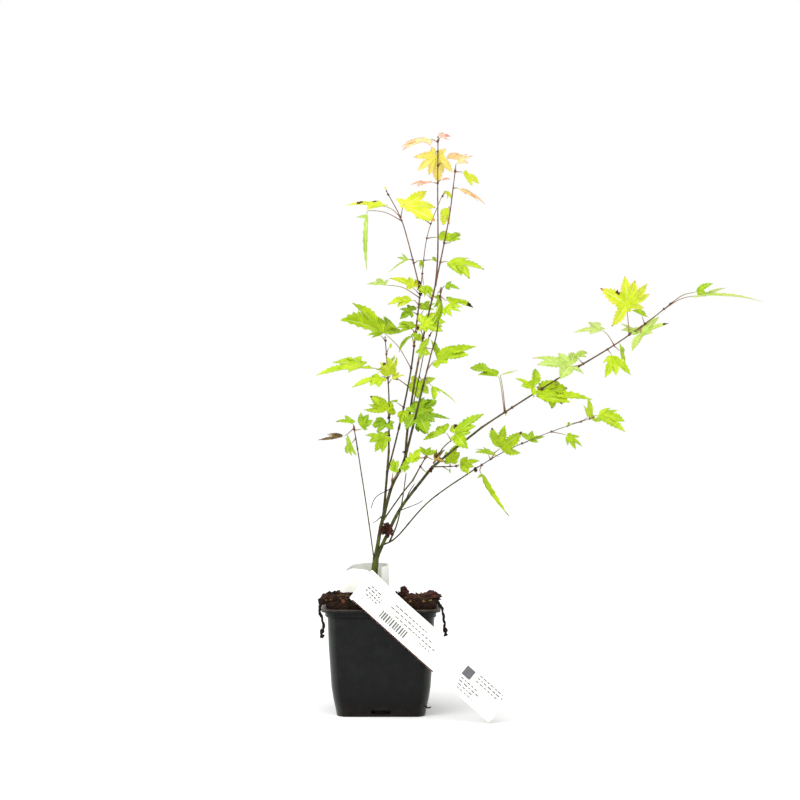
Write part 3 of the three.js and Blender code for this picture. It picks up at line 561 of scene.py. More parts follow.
class Finish:
    """A material under construction: its tree, its shader and its Object coordinates."""

    def __init__(self, name, roughness=0.6, specular=0.2):
        self.material = bpy.data.materials.new(name)
        self.material.use_nodes = True
        self.tree = self.material.node_tree
        self.shader = self.tree.nodes["Principled BSDF"]
        self.shader.inputs["Roughness"].default_value = roughness
        self.shader.inputs["Specular IOR Level"].default_value = specular
        self.place = add(self.tree, "ShaderNodeTexCoord").outputs["Object"]

    def link(self, a, b):
        self.tree.links.new(a, b)

    def group(self, tree, **values):
        """The outputs of a shared effect that reads this finish's coordinates."""
        node = add(self.tree, "ShaderNodeGroup", node_tree=tree)
        for key, value in values.items():
            node.inputs[key].default_value = value
        self.link(self.place, node.inputs["Place"])
        return node.outputs

    def ramp(self, value, *stops):
        """A colour for each level of a value, from (level, colour) pairs."""
        node = add(self.tree, "ShaderNodeValToRGB")
        elements = node.color_ramp.elements
        while len(elements) < len(stops):
            elements.new(0.5)
        for element, (place, colour) in zip(elements, stops):
            element.position = place
            element.color = (*paint(colour), 1)
        self.link(value, node.inputs["Fac"])
        return node.outputs["Color"]

    def blend(self, mask, under, over, how="MIX"):
        """One colour over another by a mask; each may be a socket or a colour's code."""
        node = add(self.tree, "ShaderNodeMix", data_type="RGBA", blend_type=how)
        for socket, value in ((node.inputs[0], mask), (node.inputs[6], under), (node.inputs[7], over)):
            if hasattr(value, "links"):
                self.link(value, socket)
            elif isinstance(value, str):
                socket.default_value = (*paint(value), 1)
            else:
                socket.default_value = value
        return node.outputs[2]

    def span(self, value, low, high):
        """A value stretched so that low gives 0 and high gives 1."""
        node = add(self.tree, "ShaderNodeMapRange")
        node.inputs["From Min"].default_value = low
        node.inputs["From Max"].default_value = high
        self.link(value, node.inputs["Value"])
        return node.outputs["Result"]

    def height(self):
        """How high a point is, in metres."""
        node = add(self.tree, "ShaderNodeSeparateXYZ")
        self.link(self.place, node.inputs[0])
        return node.outputs["Z"]

    def colour(self, value):
        self.link(value, self.shader.inputs["Base Color"])

    def bump(self, value, strength, distance):
        node = add(self.tree, "ShaderNodeBump", Strength=strength, Distance=distance)
        self.link(value, node.inputs["Height"])
        self.link(node.outputs["Normal"], self.shader.inputs["Normal"])


print("node groups:", [g.name for g in bpy.data.node_groups])

# %% [markdown]
# ## Stems
#
# A young maple's stem is smooth and thin, a little swollen where it leaves its parent and at every node,
# and dull rather than shiny. A curve with a bevel could draw it, but a curve gives every ring the same
# shape. Here one circle is extruded ring by ring along the middle line, so that each ring can have its own
# radius, and a last step roughens the bark. A point attribute remembers how near a node is, for the colour
# of the bark.

# %% One tube
BARK_LUMPS = 0.8


def lump(*place):
    """A level from -1 to 1 that changes slowly from place to place."""
    return noise.noise(Vector(place))


def ring_matrices(spots):
    """A matrix for each place, whose Z runs along the stem and whose X and Y don't spin round it."""
    ways = np.gradient(spots, axis=0)
    side, matrices = np.array([0.31, 0.83, 0.46]), []
    for spot, way in zip(spots, ways):
        way = unit(way)
        side = unit(side - side.dot(way) * way)
        turn = Matrix(np.column_stack([side, np.cross(way, side), way]).tolist()).to_4x4()
        matrices.append(Matrix.Translation(spot) @ turn)
    return matrices


def face_out(bm):
    """Turns all faces outwards."""
    bmesh.ops.recalc_face_normals(bm, faces=bm.faces)


def next_ring(bm, edges):
    """The points and the edges of a ring that is extruded from another one's edges."""
    made = bmesh.ops.extrude_edge_only(bm, edges=edges)["geom"]
    verts = [g for g in made if isinstance(g, bmesh.types.BMVert)]
    return verts, [g for g in made if isinstance(g, bmesh.types.BMEdge)]


def tube(spots, radii, marks, sides, rough=0.0):
    """A closed round tube in millimetres: a circle extruded from place to place."""
    bm = bmesh.new()
    layer = bm.verts.layers.float.new("node")
    ring = bmesh.ops.create_circle(bm, cap_ends=True, segments=sides, radius=1)["verts"]
    edges = list({e for v in ring for e in v.link_edges})
    rings, last = [], Matrix.Identity(4)
    for turn, radius, mark in zip(ring_matrices(spots), radii, marks):
        if rings:
            ring, edges = next_ring(bm, edges)
        here = turn @ Matrix.Diagonal((radius, radius, 1, 1))
        bmesh.ops.transform(bm, matrix=here @ last.inverted(), verts=ring)
        rings.append((ring, turn.translation))
        last = here
        for v in ring:
            v[layer] = mark
    bmesh.ops.contextual_create(bm, geom=edges)
    for ring, centre in rings:
        for v in ring:
            v.co += (v.co - centre) * rough * 2 * noise.noise(v.co * BARK_LUMPS)
    face_out(bm)
    return bm


def gather(total, bm, slot=0):
    """Moves one mesh into a growing one, with its faces in a material slot."""
    for face in bm.faces:
        face.material_index = slot
    part = bpy.data.meshes.new("part")
    bm.to_mesh(part)
    bm.free()
    total.from_mesh(part)
    bpy.data.meshes.remove(part)


def new_stock():
    """An empty mesh that can remember how near its points are to a node."""
    bm = bmesh.new()
    bm.verts.layers.float.new("node")
    return bm


def settle(piece, replaced):
    """Ties a piece to the plant's one body and hides the solids it stands for."""
    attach(piece, "root")
    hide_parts(*replaced)
    triangles = sum(len(p.vertices) - 2 for p in piece.data.polygons)
    print(piece.name, triangles, "triangles for", len(replaced), "nodes")


def smooth(mesh, angle):
    """Smooth shading but for the edges that are sharper than an angle in degrees."""
    mesh.shade_smooth()
    mesh.set_sharp_from_angle(angle=radians(angle))


def finish_piece(bm, name, replaced, materials, angle=50):
    """A mesh in millimetres as a piece of the object, smooth but for its sharp edges."""
    bmesh.ops.scale(bm, vec=(MM, MM, MM), verts=bm.verts)
    piece = to_object(bm, name)
    for material in materials:
        piece.data.materials.append(material)
    smooth(piece.data, angle)
    settle(piece, replaced)
    return piece


# %% [markdown]
# The radius of a limb falls evenly from foot to tip. Three things are laid over that: a flare where the
# limb leaves its parent, a ring at each node, and a round end. A limb also starts a little way inside its
# parent. The solids had to be thick enough to stand as parts; the real shoots are slimmer, so most are
# slimmed here.

# %% Limbs and shoots as tubes
RING_STEP = 1.4
NODE = {"gap": [22, 16], "long": 1.0, "high": 0.08, "least": 0.06, "from_tip": 4}
FOOT = {"high": 0.32, "long": 2.2, "inside": 1.2}
TIP = {"long": 1.2, "least": 0.03}
MASSES = [name + "_leaves" for name in SHOOTS]
SLIM = {
    "trunk": 0.95, "rear_bough": 0.86, "front_bough": 0.92, "centre_bough": 1, "outer_bough": 1,
    "low_bough": 0.62, "side_twig": 0.68, "rear_shoot": 0.72, "inner_shoot": 0.95, "centre_shoot": 1,
    "top_left": 1, "top_right": 1, "upper_left": 1, "upper_inner": 0.7, "right_middle": 0.72,
    "right_tip": 0.82, "low_shoot": 0.5,
}
SLIM_OTHERS = 0.8
FLARE = stem(4.6, 2.7, [-5.8, 0, 90], [-5.6, 0, 97.5])


def limb_tube(name, limb, line, nodes, sides, rough):
    """A limb with its flare, its nodes and its round end."""
    count = max(6, round(line.length / RING_STEP))
    run = np.linspace(0, line.length, count + 1)
    spots = line.places(run / line.length)
    back = spots[0] - unit(spots[1] - spots[0]) * FOOT["inside"]
    spots, run = np.vstack([back, spots]), np.r_[-FOOT["inside"], run]
    radii = limb["foot"] + (limb["tip"] - limb["foot"]) * np.clip(run / line.length, 0, 1)
    radii *= SLIM.get(name, SLIM_OTHERS)
    radii *= 1 + FOOT["high"] * np.exp(-np.clip(run, 0, None) / FOOT["long"])
    near = np.zeros(len(run))
    for node in nodes:
        near = np.maximum(near, np.exp(-(((run - node * line.length) / NODE["long"]) ** 2)))
    radii += near * (NODE["least"] + NODE["high"] * radii)
    end = np.clip((line.length - run) / TIP["long"], 0, 1)
    radii *= np.sqrt(np.clip(1 - (1 - end) ** 2, TIP["least"], 1))
    return tube(spots, radii, near, sides, rough)


def spaced_nodes(line, seed):
    """Places of the nodes along a bare limb."""
    row, nodes, run = seeded(seed + 700), [], 0
    while True:
        run += draw(row, NODE["gap"])
        if run > line.length - NODE["from_tip"]:
            return nodes
        nodes.append(run / line.length)


OLIVE = ["trunk", "left_bough", "right_bough", "front_bough"]
DEAD = ["dead_twig_left", "dead_twig_right", "dead_stub"]
PLUM = [name for name in LIMBS if name not in OLIVE + DEAD]
nodes_of = {name: spaced_nodes(lines[name], i + 1) for i, name in enumerate(LIMBS)}
for name, leaves in rows.items():
    nodes_of[name] = sorted({round(leaf[0], 2) for leaf in leaves})


def limbs_stock(names, sides, rough):
    """Several limbs as one mesh."""
    bm = new_stock()
    for name in names:
        limb = LIMBS.get(name) or SHOOTS[name]
        gather(bm, limb_tube(name, limb, lines[name], nodes_of[name], sides, rough))
    return bm


olive_stock = limbs_stock(OLIVE, sides=14, rough=0.06)
gather(olive_stock, limb_tube("flare", FLARE, Line(FLARE["line"]), [], sides=14, rough=0.09))
plum_stock = limbs_stock(PLUM, sides=10, rough=0.05)
shoot_stock = limbs_stock(SHOOTS, sides=10, rough=0.04)
print(len(olive_stock.faces), len(plum_stock.faces), len(shoot_stock.faces), "faces of stem")

# %% [markdown]
# ## Bark
#
# The foot of the trunk is olive green and scuffed. Higher up the bark is plum brown with fine streaks along
# the stem and a few pale lenticels, and the youngest wood is red brown at its nodes. All of it is one
# finish with other colours, so a function builds it from a list of stops by height.


# %% Bark finishes
STEM_FOOT, STEM_TOP = 0.09, 0.45


def bark(name, stops, node_colour, roughness=0.55):
    """A bark finish: colour by height, streaks, lenticels and darker nodes."""
    finish = Finish(name, roughness)
    lines_in_bark = finish.group(streaks, Scale=1100)
    dots = finish.group(specks, Scale=420, Size=0.13)
    colour = finish.ramp(finish.span(finish.height(), STEM_FOOT, STEM_TOP), *stops)
    dark = finish.ramp(lines_in_bark["Streak"], (0.3, (0.4, 0.37, 0.37)), (0.62, (1.3, 1.25, 1.2)))
    colour = finish.blend(0.75, colour, dark, "MULTIPLY")
    patch = finish.ramp(lines_in_bark["Blotch"], (0.42, (0.5, 0.42, 0.4)), (0.58, (1.2, 1.2, 1.1)))
    colour = finish.blend(0.85, colour, patch, "MULTIPLY")
    colour = finish.blend(finish.span(dots["Speck"], 0, 2.2), colour, "#a98f76")
    near = add(finish.tree, "ShaderNodeAttribute", attribute_name="node")
    finish.colour(finish.blend(finish.span(near.outputs["Fac"], 0.35, 1.3), colour, node_colour))
    finish.bump(lines_in_bark["Streak"], strength=0.35, distance=0.0004)
    return finish.material


olive_bark = bark("olive_bark", [(0, "#4e5c1e"), (0.12, "#485220"), (0.25, "#40421c"), (0.5, "#3c3a1e")],
                  "#26230f")
plum_bark = bark("plum_bark", [(0, "#5e6228"), (0.15, "#505024"), (0.4, "#504c2c"), (1, "#664e3a")],
                 "#302218")
shoot_bark = bark("shoot_bark", [(0, "#4c4a26"), (0.45, "#5c5032"), (0.7, "#764f40"), (1, "#8e6258")],
                  "#4a2a20")
finish_piece(olive_stock, "olive_stems", OLIVE, [olive_bark])
finish_piece(plum_stock, "plum_stems", PLUM, [plum_bark])

# %% [markdown]
# ## The pattern of a leaf
#
# A maple leaf has five or seven lobes that share one palm. Each lobe is a grid: its first rows lie in the
# common palm and end at the notches, and its free rows narrow to a drawn-out tip. The grids of neighbouring
# lobes share a row of points from the palm to the notch, so they are welded once in a flat pattern, and
# every leaf then only moves the pattern's points. Columns are close together at the midrib, to leave it a
# face of its own colour.

# %% Flat pattern
COLUMNS = np.array([-1, -0.55, -0.07, 0.07, 0.55, 1])
MIDRIB = 2
WEB, FREE = 3, 12
ROWS = WEB + FREE + 1
PALM_AT, SINUS_AT, SINUS_TURN = 0.08, 0.42, 19
LOBES = [(-118, 0.34), (-78, 0.64), (-38, 0.88), (0, 1), (38, 0.88), (78, 0.64), (118, 0.34)]
LOBES_APART = 38
SMALL_BLADE = 25
JITTER = {"turn": 12, "reach": 0.24, "droop": 0.16}
OUTER = {"turn": 32, "reach": 0.14}
SHAPE = {"round": 1.3, "wide": 3.0}
TOOTH = {"out": 1.16, "in": 0.84, "ahead": 0.4}
RIPPLE = 0.008
BEND = {"past_tip": 1.15, "steps": 47, "from": 0.4}
WIDE_GAP = 1.2


def lobe_grid(turn, reach, droop, left, right, fat, pleat, curl, sway, twist):
    """A lobe's points as [row, column, xyz] in shares of the blade: x along the midrib, z off its face."""
    points = np.zeros((ROWS, len(COLUMNS), 3))
    sides = {}
    for sign, (far, out) in ((-1, left), (1, right)):
        sides[sign] = np.array([out * cos(far - turn), out * sin(far - turn)])
    start = (sides[-1][0] + sides[1][0]) / 2
    full = SINUS_AT * reach * sin(radians(SINUS_TURN)) * fat
    for j in range(ROWS):
        web = min(1, j / WEB)
        u = max(0, (j - WEB) / FREE)
        middle = start * web if j <= WEB else start + (reach - start) * u
        shape = (1 - u) ** SHAPE["round"] * (1 + SHAPE["wide"] * u)
        tooth = 1 if u in (0, 1) else TOOTH["out"] if (j - WEB) % 2 else TOOTH["in"]
        for k, c in enumerate(COLUMNS):
            edge, notch = abs(c), sides[-1 if c < 0 else 1]
            wide = full * cos(pleat) * shape + (abs(notch[1]) - full * cos(pleat)) * (1 - u) ** 2
            if j <= WEB:
                wide = abs(notch[1]) * web
            if edge == 1:
                wide *= tooth
            ahead = TOOTH["ahead"] * (reach - start) / FREE if edge == 1 and tooth > 1 else 0
            along = middle + edge * ((notch[0] - start) * (web if j <= WEB else (1 - u) ** 2)) + ahead
            high = edge**1.2 * full * sin(pleat) * (web if j <= WEB else shape)
            high += RIPPLE * (-1) ** j * edge * (1.3 - edge) * shape * web
            roll = twist * u
            across = copysign(wide * edge, c)
            points[j, k] = (along, across * cos(roll) - high * sin(roll),
                            across * sin(roll) + high * cos(roll))
    return bend(points, turn, reach, droop, curl, sway)


def bend(points, turn, reach, droop, curl, sway):
    """Bends a flat lobe down along its midrib, then turns it to its place in the leaf."""
    t = np.linspace(0, BEND["past_tip"], BEND["steps"])
    angle = 2 * droop * reach * t + curl * np.clip((t - BEND["from"]) / (1 - BEND["from"]), 0, 1) ** 2
    step = (t[1] - t[0]) * reach
    far = np.r_[0, np.cumsum(np.cos(angle) * step)[:-1]]
    deep = np.r_[0, np.cumsum(np.sin(angle) * step)[:-1]]
    share = points[..., 0] / reach
    tilt = np.interp(share, t, angle)
    along = np.interp(share, t, far) + points[..., 2] * np.sin(tilt)
    high = -np.interp(share, t, deep) + points[..., 2] * np.cos(tilt)
    across = points[..., 1] + sway * reach * share**2
    return np.stack([along * cos(turn) - across * sin(turn),
                     along * sin(turn) + across * cos(turn), high], axis=-1)


def leaf_grids(turns, reaches, droops, fats, spread, pleat, curls, sways, twists, web=1):
    """All lobes of a leaf, with the notch between two neighbours shared."""
    count, grids = len(turns), []
    outer = radians(OUTER["turn"]) * spread
    for i in range(count):
        sides = []
        for near in (i - 1, i + 1):
            if 0 <= near < count:
                gap = abs(turns[near] - turns[i])
                deep = web * SINUS_AT * (reaches[i] + reaches[near]) / 2 * min(1, WIDE_GAP / max(gap, 0.01))
                sides.append(((turns[i] + turns[near]) / 2, deep))
            else:
                sides.append((turns[i] + (near - i) * outer, OUTER["reach"] * web))
        moves = curls[i], sways[i], twists[i]
        grids.append(lobe_grid(turns[i], reaches[i], droops[i], *sides, fats[i], pleat, *moves))
    return np.array(grids)


class Pattern:
    """Which grid points of a leaf are one point, its faces, and where each face lies on its lobe."""

    def __init__(self, count):
        turns = [radians(LOBES_APART) * (i - (count - 1) / 2) for i in range(count)]
        none, one = [0] * count, [1] * count
        flat = leaf_grids(turns, one, none, one, 1, 0, none, none, none)
        keys = np.round(flat.reshape(-1, 3)[:, :2] * 1e5).astype(int)
        _, self.index = np.unique(keys, axis=0, return_inverse=True)
        self.index = self.index.reshape(-1)
        self.size = self.index.max() + 1
        self.share = np.bincount(self.index)
        grid = self.index.reshape(count, ROWS, len(COLUMNS))
        self.faces, zones = [], []
        for i in range(count):
            for j in range(ROWS - 1):
                for k in range(len(COLUMNS) - 1):
                    ring = [grid[i, j, k], grid[i, j + 1, k], grid[i, j + 1, k + 1], grid[i, j, k + 1]]
                    ring = [int(p) for n, p in enumerate(ring) if p != ring[n - 1]]
                    if len(ring) > 2:
                        self.faces.append(ring)
                        zones.append((i, j / (ROWS - 1), abs(k - MIDRIB) / MIDRIB))
        self.zones = np.array(zones)
        edges = {(a, b) for ring in self.faces for a, b in zip(ring, ring[1:] + ring[:1])}
        self.rim = sorted((a, b) for a, b in edges if (b, a) not in edges)
        self.corners = np.array([ring + ring[-1:] * (4 - len(ring)) for ring in self.faces])

    def weld(self, grids):
        """Grid points as the pattern's points, each the mean of those that share it."""
        flat = grids.reshape(-1, 3)
        return np.stack([np.bincount(self.index, flat[:, k]) / self.share for k in range(3)], axis=1)

    def normals(self, points):
        a, b, c, d = (points[self.corners[:, k]] for k in range(4))
        across = np.cross(c - a, d - b)
        total = np.zeros_like(points)
        for k in range(4):
            np.add.at(total, self.corners[:, k], across)
        return total / np.maximum(np.linalg.norm(total, axis=1), 1e-12)[:, None]


patterns = {count: Pattern(count) for count in range(2, 9)}
for count, pattern in patterns.items():
    print(count, "lobes:", pattern.size, "points,", len(pattern.faces), "faces")

# %% [markdown]
# ## The colours of the leaves
#
# Autumn starts at the top: the lowest leaves are lime green, the next ones go yellow from the edge inwards,
# and the top ones are orange and pink with scorched tips. These colours have their place on the leaf and on
# the plant, so they are plain base colours, dealt out to faces by a rule: mottled over the blade, another
# colour along the edge, a pale midrib, a paler underside, and now and then a burnt tip or a black spot.

# %% Leaf tints
TINTS = {  # four of the blade, then edge, tip, midrib and underside
    "lime": "#bdd420 #abc90e #9bbc08 #8aad06 #a2ba1e #aea33c #c8d874 #b9d05c",
    "green": "#b8d118 #abc80e #9bba08 #8bad06 #9cb41a #a89f38 #bccf64 #aec84e",
    "gold": "#dfe444 #d3de30 #c8dc22 #bcd018 #d8d64c #cc9c50 #e2e494 #d0db62",
    "yellow": "#efe676 #ece064 #e7da56 #e0d24c #eed480 #e6b274 #f0eab0 #e8e288",
    "orange": "#f0dfa6 #eed696 #eaca86 #e4be7a #eab888 #dc987a #f2e6be #eed8aa",
    "pink": "#f0d4be #eec8ac #eabb9e #e4ad90 #e4a08a #d28474 #f2dccc #eeceba",
    "deep": "#8eb00e #7da208 #6c9406 #5c8604 #6f9010 #808a28 #aac256 #9cb842",
    "pale": "#c3d77a #b6cf66 #a8c450 #9ab942 #bcc966 #c4a264 #d2dfa0 #bfd280",
    "dead": "#4e2a1c #3c1e14 #2c150e #5e3624 #2a140d #2a140d #5e3c2a #4e2a1c",
    "brown": "#ac9048 #927638 #6e5629 #4c3c1e #5a4420 #2c2012 #a88a52 #8a6c3e",
}
BURNT, BLACK = "#6a3f1c", "#17110c"
SHARED_SLOT = {"green": "leaves_lime", "yellow": "leaves_gold", "pink": "leaves_orange",
               "brown": "dead_wood"}
# The numbers of a tint's plain colours after its first four
EDGE, POINT, VEIN, UNDERSIDE, SCORCHED, CHARRED = 4, 5, 6, 7, 8, 9
# How often a leaf of each tint has turned along its edge
EDGED = {"lime": 0.12, "green": 0.1, "deep": 0.1, "pale": 0.4, "gold": 0.5, "brown": 0.6}
EDGED_OTHERS = 0.9
# Places and sizes as shares of a lobe or of the blade
SPOT = {"burnt": 0.085, "black": 0.05}
MOTTLE = {"middle": 1.5, "leaf": 2.2, "place": 0.9}
WAVES = [(9, 11, 1), (23, 19, 0.6)]
FROM = {"edge": 0.25, "tip": 0.97, "burnt": 0.9, "midrib_ends": 0.85}
LEAF_ROUGH, BURNT_ROUGH, LEAF_SHINE = 0.5, 0.7, 0.2


def leaf_materials(tint):
    """The plain colours of one tint, in the order of their numbers, with burnt and black last."""
    names = ["1", "2", "3", "4", "edge", "tip", "midrib", "under", "burnt", "black"]
    codes = [*TINTS[tint].split(), BURNT, BLACK]
    rough = [LEAF_ROUGH] * 8 + [BURNT_ROUGH] * 2
    return [plain(f"leaf_{tint}_{name}", paint(code), roughness, LEAF_SHINE)
            for name, code, roughness in zip(names, codes, rough)]


def paint_leaf(pattern, points, own, tint, look):
    """A material for each face of a leaf: mottling, edge, midrib, tips, burns and spots."""
    lobe, along, beside = pattern.zones.T
    middle = points[pattern.corners].mean(axis=1)
    mottle = 0
    for across, up, high in WAVES:
        start_x, start_y = 6.3 * next(own), 6.3 * next(own)
        mottle += high * np.sin(across * middle[:, 0] + start_x) * np.sin(up * middle[:, 1] + start_y)
    shade = MOTTLE["middle"] + MOTTLE["leaf"] * (next(own) - 0.5) + MOTTLE["place"] * mottle
    paint_of = np.clip(np.round(shade), 0, 3).astype(int)
    turned = EDGED.get(tint, EDGED_OTHERS)
    edge_wide = next(own) < turned
    paint_of[(beside > 0.6) & (along > FROM["edge"]) & edge_wide] = EDGE
    count = int(lobe.max()) + 1
    for i in range(count):
        start = FROM["tip"] - turned * 0.3 * next(own)
        paint_of[(lobe == i) & (along > start)] = POINT
        if next(own) < 0.04 + 0.1 * turned:
            paint_of[(lobe == i) & (along > FROM["burnt"])] = SCORCHED
    paint_of[(beside == 0) & (along < FROM["midrib_ends"])] = VEIN
    for i, start in look.get("black", []):
        paint_of[(lobe == i) & (along > start - 0.08)] = SCORCHED
        paint_of[(lobe == i) & (along > start)] = CHARRED
    for i, share in look.get("spots", []):
        spot = middle[(lobe == i) & (along > share)][0]
        near = np.linalg.norm(middle - spot, axis=1)
        paint_of[near < SPOT["burnt"]] = SCORCHED
        paint_of[near < SPOT["black"]] = CHARRED
    return paint_of


# %% [markdown]
# ## Growing the leaves
#
# Each leaf takes the row of random numbers that its solid took, in the same order, so its lobes point and
# droop the same way. What the solid doesn't have comes from a row of its own: how the tips curl, how each
# lobe sways and twists, and how deep it is pleated. A leaf that spreads little is pleated like a closed
# fan. A blade is a shell a quarter of a millimetre thick with a rim, closed all round.
#
# Leaves of a maple differ, and some of these have lost lobes, so the ones that stand out in the photograph
# have a look of their own. A look names the lobes that are left, each as its turn from the midrib in
# degrees, its reach as a share of the blade and, where that isn't 1, how wide it is. It may also change the
# leaf's lean, roll or tint, deepen its notches (web), hook a lobe sideways, burn a lobe black from some
# share of it outwards, or put a spot on it. The last three name a lobe by its place in the list.

# %% Leaves with a look of their own
def look(*lobes, **changes):
    """What sets one leaf apart: its lobes, and whatever else differs from its row."""
    return {"lobes": lobes, **changes}


